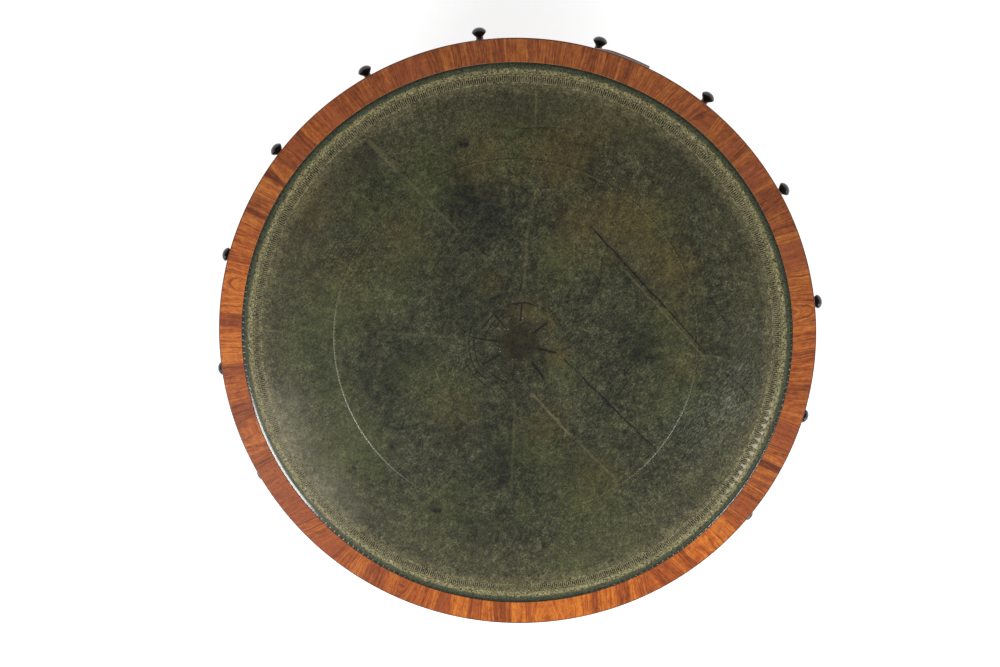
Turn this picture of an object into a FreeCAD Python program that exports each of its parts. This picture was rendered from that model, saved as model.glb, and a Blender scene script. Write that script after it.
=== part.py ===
import FreeCAD, Part
import math
import os

# A round library table. A leather topped drum, with four drawers and four dummy fronts between
# them, turns on a column whose four swept legs stand on brass castors.
# Millimetres and degrees, +Z up, the origin on the floor under the middle of the column.
# The drawers face +X, +Y, -X and -Y, and the dummy fronts and the legs stand between them.

# Whole table
overall_height = 750
top_radius = 610
drawer_angles = [0, 90, 180, 270]
between_angles = [45, 135, 225, 315]
half_front = between_angles[0] / 2

# Clearances
running_gap = 0.3
pin_clearance = 0.05
overrun = 10

# Top
top_thickness = 22
crossband_width = 47
veneer_thickness = 1.5
lipping_thickness = 2
lipping_round = 0.8

# Fronts
front_overhang = 6
front_height = 92
front_thickness = 20
front_gap = 1
bead_thickness = 3
bead_depth = 12
bead_projection = 2
bead_round = 1.2
sprung_bead_shift = 8.5
sprung_bead_lead = 48
sprung_bead_loss = 12

# Knobs
knob_angle_share = 0.5
knob_projection = 30.5
knob_head_radius = 14.5
knob_edge_height = 2
knob_edge_inset = 0.4
knob_collar_radius = 9.5
knob_collar_thickness = 3.2
knob_waist_radius = 7.3
knob_spigot_radius = 4

# Locks and escutcheons
lock_width = 56
lock_height = 34
lock_case_depth = 10
lock_plate_thickness = 2.5
lock_drop = 22
keyhole_radius = 2.4
keyhole_slot_width = 2.6
keyhole_slot_drop = 7
escutcheon_width = 17
escutcheon_height = 27
escutcheon_thickness = 1.2

# Drum carcass
board_thickness = 12
moulding_width = 15
moulding_reach = 3
divider_thickness = 12
divider_lap = 0.5
batten_size = 25
centre_block_width = 180
centre_block_height = 40
bearing_plate_radius = 70
bearing_plate_thickness = 2

# Drawers
drawer_side_gap = 2.5
drawer_back_gap = 3
drawer_side_thickness = 10
drawer_back_thickness = 9
drawer_side_height = 84
drawer_back_drop = 5
drawer_bottom_thickness = 6
drawer_bottom_rise = 6
groove_depth = 5

# Screws
screw_shank_radius = 2.2
screw_head_radius = 4.6
screw_head_depth = 3
screw_bite = 13

# Pivot
pivot_radius = 15
pivot_depth = 150
pivot_end = 6
washer_radius = 34
washer_thickness = 3
nut_width = 50
nut_height = 20
nut_corner_angles = [0, 60, 120, 180, 240, 300]

# Column
platform_radius = 170
platform_thickness = 24
platform_round = 12
column_radius = 66
tenon_radius = 30
tenon_length = 16
hub_radius = 70
hub_height = 150

# Legs
leg_reach = 470
leg_root_width = 60
leg_toe_width = 38
leg_toe_height = 34
leg_rise = 85
leg_root_drop = 8
leg_landing = 30
leg_round = 5
tongue_depth = 22
tongue_width = 18
tongue_flare = 4
tongue_drop = 55

# Base plate
base_plate_thickness = 4
base_plate_arm = 96
base_plate_arm_width = 36
base_plate_middle_radius = 54

# Toe caps and castors
cap_length = 45
cap_wall = 2
boss_radius = 10
boss_height = 8
wheel_radius = 19
wheel_width = 16
wheel_round = 2.5
wheel_gap = 4
axle_radius = 3
axle_head_radius = 4.5
axle_head_thickness = 1.5
stem_radius = 5
stem_length = 34
castor_trail = 14
crown_radius = 12
crown_thickness = 5
cheek_thickness = 3
cheek_gap = 1
eye_radius = 6.5

# Heights, from the top downwards
top_low = overall_height - top_thickness
veneer_low = overall_height - veneer_thickness
front_high = top_low - front_gap
front_low = front_high - front_height
board_high = front_low - front_gap
board_low = board_high - board_thickness
bearing_plate_low = board_low - bearing_plate_thickness
platform_high = bearing_plate_low - running_gap
platform_low = platform_high - platform_thickness
block_high = board_high + centre_block_height
washer_low = block_high + running_gap
nut_low = washer_low + washer_thickness
nut_high = nut_low + nut_height
knob_height = (front_low + front_high) / 2
keyhole_height = front_high - lock_drop

# Heights, from the floor upwards
crown_low = 2 * wheel_radius + wheel_gap
crown_high = crown_low + crown_thickness
boss_low = crown_high + running_gap
cap_low = boss_low + boss_height
toe_low = cap_low + cap_wall
toe_high = toe_low + leg_toe_height
hub_low = toe_low + leg_rise
hub_high = hub_low + hub_height

# Radii and places across the drum
frieze_radius = top_radius - front_overhang
front_inner_radius = frieze_radius - front_thickness
bead_seat_radius = frieze_radius - bead_depth
bead_tip_radius = frieze_radius + bead_projection
core_radius = top_radius - lipping_thickness
leather_radius = top_radius - crossband_width
board_radius = frieze_radius + moulding_reach - moulding_width
panel_half_angle = half_front - math.degrees(front_gap / frieze_radius)
bead_angle = math.degrees(bead_thickness / frieze_radius)
knob_angle = half_front * knob_angle_share
housing_half = front_inner_radius * math.sin(math.radians(half_front)) + divider_lap
housing_back = housing_half + divider_thickness
drawer_half = housing_half - drawer_side_gap
drawer_inner_half = drawer_half - drawer_side_thickness
drawer_back = housing_back + drawer_back_gap
castor_radius = leg_reach - cap_length / 2
leg_start = hub_radius - tongue_depth

# Turned shapes, as shares of the height and the radius of what they belong to. The third number is
# how far the edge bows outwards, as a share of its own length.
knob_collar_bulge_share = 0.3
knob_neck_share = 0.41
knob_rim_share = 0.70
knob_neck_bulge_share = -0.12
knob_bowl_bulge_share = 0.09
column_shares = [
    (0.000, 0.94, 0),
    (0.075, 0.94, 0.38),
    (0.075, 0.82, 0),
    (0.090, 0.82, 0),
    (0.165, 0.60, -0.20),
    (0.165, 0.70, 0),
    (0.190, 0.70, 0.50),
    (0.190, 0.58, 0),
    (0.340, 0.96, 0.14),
    (0.640, 0.50, 0.07),
    (0.640, 0.64, 0),
    (0.665, 0.64, 0.50),
    (0.665, 0.54, 0),
    (0.690, 0.54, 0),
    (0.690, 0.62, 0),
    (0.710, 0.62, 0.50),
    (0.710, 0.52, 0),
    (0.880, 0.60, -0.06),
    (0.950, 1.00, -0.22),
    (0.950, 1.08, 0),
    (1.000, 1.08, 0.30),
]

# The loose bead's run, as shares of its length and of how far it stands out
sprung_bead_shares = [(0, 0), (0.17, 0.12), (0.30, 0.55), (0.42, 0.93), (0.60, 1.02), (1, 0.95)]

# Places of screws and of the fork's shoulder, as shares of what carries them
batten_screw_share = 0.5
hub_screw_share = 0.62
leg_screw_share = 0.45
cheek_shoulder_share = 0.5

half_bulge = 0.5
quarter_bulge = math.tan(math.radians(22.5)) / 2

up = FreeCAD.Vector(0, 0, 1)
centre = FreeCAD.Vector(0, 0, 0)


def outline(points):
    """A flat face in the XZ plane, its corners in counter-clockwise order.

    A point is (x, z) or (x, z, bulge). The bulge is how far the edge that ends there bows out of
    the face, as a share of its chord.
    """
    corners = [FreeCAD.Vector(point[0], 0, point[1]) for point in points]
    edges = []
    for index, point in enumerate(points):
        start = corners[index - 1]
        end = corners[index]
        if len(point) < 3 or point[2] == 0:
            edges.append(Part.LineSegment(start, end).toShape())
            continue
        chord = end - start
        outwards = FreeCAD.Vector(chord.z, 0, -chord.x)
        middle = (start + end) * 0.5 + outwards * point[2]
        edges.append(Part.Arc(start, middle, end).toShape())
    return Part.Face(Part.Wire(edges))


def arriving_bulge(run, fall):
    """The bulge of an arc that falls or climbs as it runs and is level at one end."""
    return math.tan(math.atan2(fall, run) / 2) / 2


def turned(points, start=0, end=360):
    """The outline turned about the vertical axis from one angle to another."""
    face = outline(points).rotated(centre, up, start)
    return face.revolve(centre, up, end - start)


def ring(inner, outer, low, high, start=0, end=360):
    """A ring between two radii, or the part of one between two angles."""
    return turned([(inner, low), (outer, low), (outer, high), (inner, high)], start, end)


def disc(radius, low, high, x=0, y=0):
    """An upright cylinder."""
    return Part.makeCylinder(radius, high - low, FreeCAD.Vector(x, y, low))


def block(x_low, x_high, y_low, y_high, z_low, z_high):
    """A rectangular block."""
    corner = FreeCAD.Vector(x_low, y_low, z_low)
    return Part.makeBox(x_high - x_low, y_high - y_low, z_high - z_low, corner)


def slab(points, y_low, y_high):
    """The outline stood between two distances along Y."""
    face = outline(points).translated(FreeCAD.Vector(0, y_low, 0))
    return face.extrude(FreeCAD.Vector(0, y_high - y_low, 0))


def upright(corners, z_low, z_high):
    """A prism on a flat polygon of (x, y) corners, between two heights."""
    points = [FreeCAD.Vector(x, y, z_low) for x, y in corners]
    face = Part.Face(Part.makePolygon(points + points[:1]))
    return face.extrude(FreeCAD.Vector(0, 0, z_high - z_low))


def spun(shape, angle):
    """A copy of the shape turned about the table's vertical axis."""
    return shape.rotated(centre, up, angle)


def around(shape, angles):
    """One copy of the shape at each angle."""
    return [spun(shape, angle) for angle in angles]


def joined(*shapes):
    """One solid made of touching or overlapping ones."""
    return shapes[0].multiFuse(list(shapes[1:])).removeSplitter().Solids[0]


def cut(shape, *tools):
    """The shape without the tools' space, as one solid."""
    return shape.cut(list(tools)).removeSplitter().Solids[0]


def screw(x, y, low, length):
    """A countersunk screw that points up, its head's flat at the given height."""
    foot = FreeCAD.Vector(x, y, low)
    head = Part.makeCone(screw_head_radius, screw_shank_radius, screw_head_depth, foot)
    return joined(head, disc(screw_shank_radius, low, low + length, x, y))


def front_panel(low, high, half_angle):
    """A curved front whose edge is rebated all round for the cock beads."""
    field_half = panel_half_angle - bead_angle
    field_low = front_low + bead_thickness
    field_high = front_high - bead_thickness
    backing = ring(front_inner_radius, bead_seat_radius, low, high, -half_angle, half_angle)
    field = ring(bead_seat_radius, frieze_radius, field_low, field_high, -field_half, field_half)
    return joined(backing, field)


def bead_profile(low):
    """The section of a level cock bead, with its rounded nose outwards."""
    high = low + bead_thickness
    nose = bead_tip_radius - bead_thickness / 2
    return [(bead_seat_radius, low), (nose, low), (nose, high, half_bulge), (bead_seat_radius, high)]


def end_bead(side):
    """The upright cock bead at one end of a front, with its outer corners rounded."""
    outer = side * panel_half_angle
    inner = side * (panel_half_angle - bead_angle)
    low = front_low + bead_thickness
    high = front_high - bead_thickness
    start, end = sorted((outer, inner))
    strip = ring(bead_seat_radius, bead_tip_radius, low, high, start, end)
    corners = []
    for edge in strip.Edges:
        radii = [math.hypot(vertex.X, vertex.Y) for vertex in edge.Vertexes]
        heights = [vertex.Z for vertex in edge.Vertexes]
        if min(radii) > frieze_radius and max(heights) - min(heights) > bead_depth:
            corners.append(edge)
    return strip.makeFillet(bead_round, corners)


def beads():
    """The four cock beads of a front whose middle is on +X."""
    level = []
    for low in (front_low, front_high - bead_thickness):
        level.append(turned(bead_profile(low), -panel_half_angle, panel_half_angle))
    return level + [end_bead(-1), end_bead(1)]


def sprung_bead():
    """The upper cock bead, which has come loose before a knob and stands out from there on."""
    low = front_high - bead_thickness
    start = math.degrees(sprung_bead_lead / frieze_radius) - knob_angle
    end = math.degrees(sprung_bead_loss / frieze_radius) - panel_half_angle
    points = []
    for run_share, shift_share in sprung_bead_shares:
        angle = start + (end - start) * run_share
        radius = bead_seat_radius + sprung_bead_shift * shift_share
        points.append(Part.Vertex(radius, 0, low).rotated(centre, up, angle).Point)
    ways = [Part.Vertex(0, -1, 0).rotated(centre, up, angle).Point for angle in (start, end)]
    curve = Part.BSplineCurve()
    curve.interpolate(Points=points, InitialTangent=ways[0], FinalTangent=ways[1])
    section = outline(bead_profile(low)).rotated(centre, up, start)
    loose = Part.Wire(curve.toShape()).makePipeShell([section.OuterWire], True, False)
    return joined(turned(bead_profile(low), start, panel_half_angle), loose)


def sprung_beads():
    """The same beads, with the loose one in place of the upper one."""
    low_bead, _, left_end, right_end = beads()
    return [low_bead, sprung_bead(), left_end, right_end]


def knob():
    """A turned knob on the face of a front whose middle is on +X, with its spigot behind."""
    neck = knob_projection * knob_neck_share
    rim = knob_projection * knob_rim_share
    edge_bulge = arriving_bulge(knob_edge_height, knob_edge_inset)
    face_bulge = arriving_bulge(knob_head_radius, knob_projection - rim)
    face = outline([
        (0, -front_thickness),
        (knob_spigot_radius, -front_thickness),
        (knob_spigot_radius, 0),
        (knob_collar_radius, 0),
        (knob_collar_radius, knob_collar_thickness, knob_collar_bulge_share),
        (knob_waist_radius, neck, knob_neck_bulge_share),
        (knob_head_radius - knob_edge_inset, rim - knob_edge_height, knob_bowl_bulge_share),
        (knob_head_radius, rim, edge_bulge),
        (0, knob_projection, face_bulge),
    ])
    shape = face.revolve(centre, up, 360)
    shape = shape.rotated(centre, FreeCAD.Vector(0, 1, 0), 90)
    return shape.translated(FreeCAD.Vector(frieze_radius, 0, knob_height))


def knob_pair():
    """The two knobs of a front whose middle is on +X."""
    return around(knob(), [-knob_angle, knob_angle])


def knob_holes():
    """The holes that the two knobs' spigots fill."""
    along = FreeCAD.Vector(1, 0, 0)
    start = FreeCAD.Vector(front_inner_radius - overrun, 0, knob_height)
    length = front_thickness + 2 * overrun
    hole = Part.makeCylinder(knob_spigot_radius, length, start, along)
    return around(hole, [-knob_angle, knob_angle])


def keyhole(x_low, x_high):
    """The keyhole's space between two distances along +X: a round with a slot under it."""
    along = FreeCAD.Vector(1, 0, 0)
    start = FreeCAD.Vector(x_low, 0, keyhole_height)
    eye = Part.makeCylinder(keyhole_radius, x_high - x_low, start, along)
    half = keyhole_slot_width / 2
    slot = block(x_low, x_high, -half, half, keyhole_height - keyhole_slot_drop, keyhole_height)
    return joined(eye, slot)


def escutcheon():
    """An oval plate, bent to the face of a front whose middle is on +X, with its keyhole."""
    half = escutcheon_width / 2
    rise = (escutcheon_height - escutcheon_width) / 2
    centre_height = keyhole_height - keyhole_slot_drop / 2
    low = centre_height - rise
    high = centre_height + rise
    corners = [(-half, low), (half, low, half_bulge), (half, high), (-half, high, half_bulge)]
    oval = slab(corners, 0, frieze_radius + overrun).rotated(centre, up, -90)
    plate_outer = frieze_radius + escutcheon_thickness
    sheet = ring(frieze_radius, plate_outer, front_low, front_high, -knob_angle, knob_angle)
    hole = keyhole(frieze_radius - overrun, frieze_radius + overrun)
    return cut(oval.common(sheet), hole)


def lock_case():
    """The brass lock let into the inner face of a drawer front on +X."""
    half = lock_width / 2
    x_low = front_inner_radius - lock_plate_thickness
    x_high = front_inner_radius + lock_case_depth
    z_high = keyhole_height + lock_height / 2
    z_low = keyhole_height - lock_height / 2
    return block(x_low, x_high, -half, half, z_low, z_high)


def drawer_bottom():
    """The bottom board of a drawer on +X, with its rounded edge in the front's groove."""
    half = drawer_inner_half + groove_depth
    low = board_high + running_gap + drawer_bottom_rise
    high = low + drawer_bottom_thickness
    board = block(drawer_back, frieze_radius, -half, half, low, high)
    return board.common(disc(front_inner_radius + groove_depth, low, high))


def drawer_box():
    """The two sides and the back of a drawer on +X."""
    low = board_high + running_gap
    high = low + drawer_side_height
    bottom = drawer_bottom()
    inside = disc(front_inner_radius, low, high)
    side = block(drawer_back, frieze_radius, drawer_inner_half, drawer_half, low, high)
    side = cut(side.common(inside), bottom)
    other = side.mirror(centre, FreeCAD.Vector(0, 1, 0))
    back_x = drawer_back + drawer_back_thickness
    back_low = low + drawer_bottom_rise + drawer_bottom_thickness
    back_high = high - drawer_back_drop
    half = drawer_inner_half
    back = block(drawer_back, back_x, -half, half, back_low, back_high)
    return [side, other, back]


def drawer_front():
    """The curved front of a drawer on +X, cut for its beads, knobs, bottom board and lock."""
    panel = front_panel(front_low, front_high, panel_half_angle)
    through = keyhole(front_inner_radius, frieze_radius + overrun)
    return cut(panel, drawer_bottom(), lock_case(), through, *knob_holes())


def dummy_front():
    """A fixed front on +X that looks like a drawer's."""
    panel = front_panel(board_high, top_low, half_front)
    return cut(panel, *knob_holes())


def divider(slot_low, slot_high):
    """A long board beside two drawers, halved where it crosses the other pair."""
    board = block(-top_radius, top_radius, housing_half, housing_back, board_high, top_low)
    board = board.common(disc(front_inner_radius, board_high, top_low))
    slots = []
    for x_low in (-housing_back, housing_half):
        x_high = x_low + divider_thickness
        slots.append(block(x_low, x_high, housing_half, housing_back, slot_low, slot_high))
    return cut(board, *slots)


def dividers():
    """The four long boards that make the drawers' housings."""
    middle = (board_high + top_low) / 2
    along_x = around(divider(board_high, middle), [0, 180])
    along_y = around(divider(middle, top_low), [90, 270])
    return along_x + along_y


def top_screws():
    """The screws that go up through the battens into the top."""
    low = top_low - batten_size
    y = housing_half - batten_size / 2
    screws = []
    for side in (-1, 1):
        x = side * housing_half * batten_screw_share
        screws += around(screw(x, y, low, batten_size + screw_bite), drawer_angles)
    return screws


def battens(screws):
    """The battens under the top, one on each wall of the space in the middle."""
    inner = housing_half - batten_size
    low = top_low - batten_size
    batten = block(-housing_half, inner, inner, housing_half, low, top_low)
    return [cut(piece, *screws) for piece in around(batten, drawer_angles)]


def pivot():
    """The iron pin in the column, with the washer and the nut that keep the drum on it."""
    pin = disc(pivot_radius, platform_low - pivot_depth, nut_high + pivot_end)
    washer = cut(disc(washer_radius, washer_low, nut_low), pin)
    corner = FreeCAD.Vector(nut_width / math.sqrt(3), 0, nut_low)
    corners = [Part.Vertex(corner).rotated(centre, up, turn).Point for turn in nut_corner_angles]
    hexagon = Part.makePolygon(corners + corners[:1])
    nut = Part.Face(hexagon).extrude(FreeCAD.Vector(0, 0, nut_height))
    return [pin, washer, cut(nut, pin)]


def column_outline():
    """The outline of the column: hub, turned shaft, and the tenon in the platform."""
    shaft = platform_low - hub_high
    points = [(0, hub_low), (hub_radius, hub_low), (hub_radius, hub_high)]
    for height_share, radius_share, bulge in column_shares:
        points.append((column_radius * radius_share, hub_high + shaft * height_share, bulge))
    tenon_high = platform_low + tenon_length
    return points + [(tenon_radius, platform_low), (tenon_radius, tenon_high), (0, tenon_high)]


def tongue():
    """The dovetailed tongue of a leg on +X, from inside the hub to its face."""
    half = tongue_width / 2
    half_deep = half + tongue_flare
    corners = [(leg_start, -half_deep), (hub_radius, -half), (hub_radius, half), (leg_start, half_deep)]
    return upright(corners, hub_low, hub_high - tongue_drop)


def leg_blank():
    """A swept leg on +X, tapered in plan and rounded, before it is fitted to the hub and the castor."""
    cap_start = leg_reach - cap_length
    under_start = hub_radius + leg_landing
    root_high = hub_high - leg_root_drop
    under = arriving_bulge(cap_start - under_start, hub_low - toe_low)
    over = arriving_bulge(cap_start - leg_start, root_high - toe_high)
    half_root = leg_root_width / 2
    half_toe = leg_toe_width / 2
    side = slab([
        (leg_start, hub_low),
        (under_start, hub_low),
        (cap_start, toe_low, under),
        (leg_reach, toe_low),
        (leg_reach, toe_high),
        (cap_start, toe_high),
        (leg_start, root_high, -over),
    ], -half_root, half_root)
    root = [(leg_start, half_root), (leg_start, -half_root)]
    toe = [(leg_reach, -half_toe), (leg_reach, half_toe)]
    blank = side.common(upright(root + toe, toe_low, hub_high)).removeSplitter().Solids[0]
    long_edges = [edge for edge in blank.Edges if edge.Length > leg_reach / 2]
    return blank.makeFillet(leg_round, long_edges)


def leg():
    """A finished leg on +X: scribed to the hub, tongued, and bored for the castor."""
    stem_high = crown_high + stem_length
    bore = disc(stem_radius + pin_clearance, toe_low - overrun, stem_high + running_gap, castor_radius)
    scribed = cut(leg_blank(), disc(hub_radius, hub_low - overrun, hub_high), bore)
    return joined(scribed, tongue())


def toe_cap():
    """The brass cap on the toe of a leg on +X, with the boss that holds the castor's stem."""
    cap_start = leg_reach - cap_length
    taper = (leg_root_width - leg_toe_width) / (leg_reach - leg_start)
    half = (leg_toe_width + taper * cap_length) / 2 + cap_wall
    sleeve = block(cap_start, leg_reach + cap_wall, -half, half, cap_low, toe_high + cap_wall)
    boss = disc(boss_radius, boss_low, cap_low, castor_radius)
    bore = disc(stem_radius + pin_clearance, boss_low - overrun, toe_high, castor_radius)
    bore = bore.common(disc(boss_radius, boss_low - overrun, toe_low, castor_radius))
    return cut(joined(sleeve, boss), leg_blank(), bore)


def base_screws():
    """The screws that hold the base plate to the hub and to each leg."""
    low = hub_low - base_plate_thickness
    length = base_plate_thickness + screw_bite
    hub_place = base_plate_middle_radius * hub_screw_share
    leg_place = hub_radius + leg_landing * leg_screw_share
    screws = []
    for place, angles in ((hub_place, between_angles), (leg_place, drawer_angles)):
        screws += around(screw(place, 0, low, length), angles)
    return screws


def base_plate(screws):
    """The iron cross under the hub, with an arm under the root of each leg."""
    low = hub_low - base_plate_thickness
    half = base_plate_arm_width / 2
    arm = block(-base_plate_arm, base_plate_arm, -half, half, low, hub_low)
    middle = disc(base_plate_middle_radius, low, hub_low)
    return cut(joined(middle, arm, spun(arm, 90)), *screws)


def castor_fork():
    """A castor's stem, crown and cheeks with its riveted axle, under the toe of a leg on +X."""
    inner = wheel_width / 2 + cheek_gap
    outer = inner + cheek_thickness
    axle_x = castor_radius + castor_trail
    crown = disc(crown_radius, crown_low, crown_high, castor_radius)
    bridge = block(castor_radius, axle_x, -outer, outer, crown_low, crown_high)
    stem = disc(stem_radius, crown_high, crown_high + stem_length, castor_radius)
    shoulder = crown_radius * cheek_shoulder_share
    cheek_outline = [
        (castor_radius - shoulder, crown_high),
        (castor_radius - shoulder, crown_low),
        (axle_x - eye_radius, wheel_radius),
        (axle_x + eye_radius, wheel_radius, half_bulge),
        (axle_x + eye_radius, crown_high),
    ]
    axle_hole = Part.makeCylinder(
        axle_radius, 2 * outer, FreeCAD.Vector(axle_x, -outer, wheel_radius), FreeCAD.Vector(0, 1, 0)
    )
    right = slab(cheek_outline, -outer, -inner)
    left = slab(cheek_outline, inner, outer)
    fork = cut(joined(crown, bridge, right, left, stem), axle_hole)
    head_edge = outer + axle_head_thickness
    axle_face = outline([
        (0, -head_edge),
        (axle_head_radius, -outer),
        (axle_radius, -outer),
        (axle_radius, outer),
        (axle_head_radius, outer),
        (0, head_edge),
    ])
    axle = axle_face.revolve(centre, up, 360).rotated(centre, FreeCAD.Vector(1, 0, 0), 90)
    return [fork, axle.translated(FreeCAD.Vector(axle_x, 0, wheel_radius))]


def castor_wheel():
    """A brass wheel under the toe of a leg on +X, with rounded tread edges."""
    half = wheel_width / 2
    bore = axle_radius + pin_clearance
    shoulder = wheel_radius - wheel_round
    face = outline([
        (bore, -half),
        (shoulder, -half),
        (wheel_radius, wheel_round - half, quarter_bulge),
        (wheel_radius, half - wheel_round),
        (shoulder, half, quarter_bulge),
        (bore, half),
    ])
    wheel = face.revolve(centre, up, 360).rotated(centre, FreeCAD.Vector(1, 0, 0), 90)
    return wheel.translated(FreeCAD.Vector(castor_radius + castor_trail, 0, wheel_radius))


def top_pieces():
    """The round top: core, crossbanding, edge lipping and leather."""
    core = cut(disc(core_radius, top_low, veneer_low), *top_screws())
    lipping = turned([
        (core_radius, top_low),
        (top_radius - lipping_round, top_low),
        (top_radius, top_low + lipping_round, quarter_bulge),
        (top_radius, overall_height - lipping_round),
        (top_radius - lipping_round, overall_height, quarter_bulge),
        (core_radius, overall_height),
    ])
    return {
        "top_core": [core],
        "crossband_rim": [ring(leather_radius, core_radius, veneer_low, overall_height)],
        "edge_lipping": [lipping],
        "leather_skin": [disc(leather_radius, veneer_low, overall_height)],
    }


def carcass_pieces():
    """What holds the drum together between the top and the pivot."""
    pin_hole = disc(pivot_radius + pin_clearance, platform_low, top_low)
    half = centre_block_width / 2
    centre_block = block(-half, half, -half, half, board_high, block_high)
    bearing = disc(bearing_plate_radius, bearing_plate_low, board_low)
    moulding = turned([
        (board_radius, board_low),
        (frieze_radius, board_low),
        (frieze_radius, board_high, moulding_reach / board_thickness),
        (board_radius, board_high),
    ])
    screws = top_screws()
    return {
        "drum_bottom_board": [cut(disc(board_radius, board_low, board_high), pin_hole)],
        "bottom_moulding": [moulding],
        "housing_dividers": dividers(),
        "top_battens": battens(screws),
        "top_screws": screws,
        "centre_block": [cut(centre_block, pin_hole)],
        "bearing_plate": [cut(bearing, pin_hole)],
    }


def dummy_pieces():
    """The four fixed fronts with their beads, knobs and escutcheons."""
    pieces = {"dummy_beads": [], "dummy_knobs": [], "dummy_escutcheons": []}
    for number, angle in enumerate(between_angles, 1):
        pieces[f"dummy_front_{number}"] = [spun(dummy_front(), angle)]
        pieces["dummy_beads"] += [spun(bead, angle) for bead in beads()]
        pieces["dummy_knobs"] += [spun(piece, angle) for piece in knob_pair()]
        pieces["dummy_escutcheons"].append(spun(escutcheon(), angle))
    return pieces


def drawer_pieces():
    """The four drawers. The second one's upper cock bead has sprung loose at one end."""
    pieces = {}
    for number, angle in enumerate(drawer_angles, 1):
        sprung = angle == drawer_angles[1]
        solids = {
            "front": [drawer_front()],
            "box": drawer_box(),
            "bottom": [drawer_bottom()],
            "beads": sprung_beads() if sprung else beads(),
            "knobs": knob_pair(),
            "lock": [cut(lock_case(), keyhole(front_inner_radius, frieze_radius)), escutcheon()],
        }
        for name, shapes in solids.items():
            pieces[f"drawer_{number}_{name}"] = [spun(shape, angle) for shape in shapes]
    return pieces


def pedestal_pieces():
    """The column with its platform, pivot, legs, caps and base plate."""
    pin, washer, nut = pivot()
    tongues = around(tongue(), drawer_angles)
    screws = base_screws()
    column = cut(turned(column_outline()), pin, *tongues, *screws)
    tenon = disc(tenon_radius, platform_low, platform_low + tenon_length)
    platform = turned([
        (0, platform_low),
        (platform_radius - platform_round, platform_low),
        (platform_radius, platform_low + platform_round, quarter_bulge),
        (platform_radius, platform_high),
        (0, platform_high),
    ])
    pieces = {
        "bearing_platform": [cut(platform, tenon, pin)],
        "column": [column],
        "pivot_pin": [pin, washer, nut],
        "toe_caps": around(toe_cap(), drawer_angles),
        "base_plate": [base_plate(screws)],
        "base_screws": screws,
    }
    for number, angle in enumerate(drawer_angles, 1):
        pieces[f"leg_{number}"] = [cut(spun(leg(), angle), *screws)]
    return pieces


def castor_pieces():
    """The four castors, each a fork that swivels and a wheel that rolls."""
    pieces = {}
    for number, angle in enumerate(drawer_angles, 1):
        pieces[f"castor_fork_{number}"] = [spun(shape, angle) for shape in castor_fork()]
        pieces[f"castor_wheel_{number}"] = [spun(castor_wheel(), angle)]
    return pieces


def main():
    """Builds every piece and writes each to its own file."""
    os.makedirs("parts", exist_ok=True)
    above = [top_pieces(), carcass_pieces(), dummy_pieces(), drawer_pieces()]
    below = [pedestal_pieces(), castor_pieces()]
    for group in above:
        for name, shapes in group.items():
            write(name, shapes)
    for group in below:
        for name, shapes in group.items():
            write(name, [spun(shape, between_angles[0]) for shape in shapes])


def write(name, shapes):
    """Writes one piece, or a group of like pieces, and says how many solids it holds."""
    shape = shapes[0] if len(shapes) == 1 else Part.makeCompound(shapes)
    shape.exportStep(f"parts/{name}.step")
    print(name, len(shape.Solids), "valid" if shape.isValid() else "NOT VALID", round(shape.Volume))


main()
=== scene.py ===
"""The looks of a round library table: mahogany, tooled green hide, ebonised knobs, brass castors.

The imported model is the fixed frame. Everything is in metres on the frame's own axes: +Z up, the
floor at zero, the column on the Z axis and the four drawers towards +X, +Y, -X and -Y.
"""
import logging
import math
from dataclasses import dataclass, field, replace
from enum import Enum

import bmesh
import bpy
import numpy as np
from mathutils import Matrix, Vector


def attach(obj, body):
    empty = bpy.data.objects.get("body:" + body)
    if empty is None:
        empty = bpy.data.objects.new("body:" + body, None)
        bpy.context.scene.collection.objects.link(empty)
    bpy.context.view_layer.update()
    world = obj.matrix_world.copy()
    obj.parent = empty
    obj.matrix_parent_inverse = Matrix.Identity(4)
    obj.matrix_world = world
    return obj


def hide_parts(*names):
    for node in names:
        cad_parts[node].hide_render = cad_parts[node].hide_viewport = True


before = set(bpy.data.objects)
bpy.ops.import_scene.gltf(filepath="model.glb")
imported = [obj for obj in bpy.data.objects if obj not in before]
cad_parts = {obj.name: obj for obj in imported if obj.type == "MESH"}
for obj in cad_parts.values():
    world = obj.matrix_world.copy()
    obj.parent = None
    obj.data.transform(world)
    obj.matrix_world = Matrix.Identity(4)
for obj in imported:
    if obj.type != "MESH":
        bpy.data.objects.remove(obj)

Socket = bpy.types.NodeSocket
LOG = logging.getLogger("drum_table")
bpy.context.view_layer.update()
MM = 0.001
DRAWER_ANGLES = (0, 90, 180, 270)
BETWEEN_ANGLES = (45, 135, 225, 315)
# The circle that is tooled into the hide, which shows both as a step and as a line.
CIRCLE_MM = 372.7


def linear(hexcode: str) -> tuple[float, float, float, float]:
    """Turns an sRGB hex colour into linear light.

    Args:
        hexcode: Six hex digits.

    Returns:
        Red, green and blue in linear light, and an alpha of one.
    """
    shares = [int(hexcode[start:start + 2], 16) / 255 for start in (0, 2, 4)]
    light = [s / 12.92 if s <= 0.04045 else ((s + 0.055) / 1.055) ** 2.4 for s in shares]
    return light[0], light[1], light[2], 1.0


def per(size_mm: float) -> float:
    """The pattern scale at which one cell is as large as a real size in millimetres."""
    return 1 / (size_mm * MM)


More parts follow.
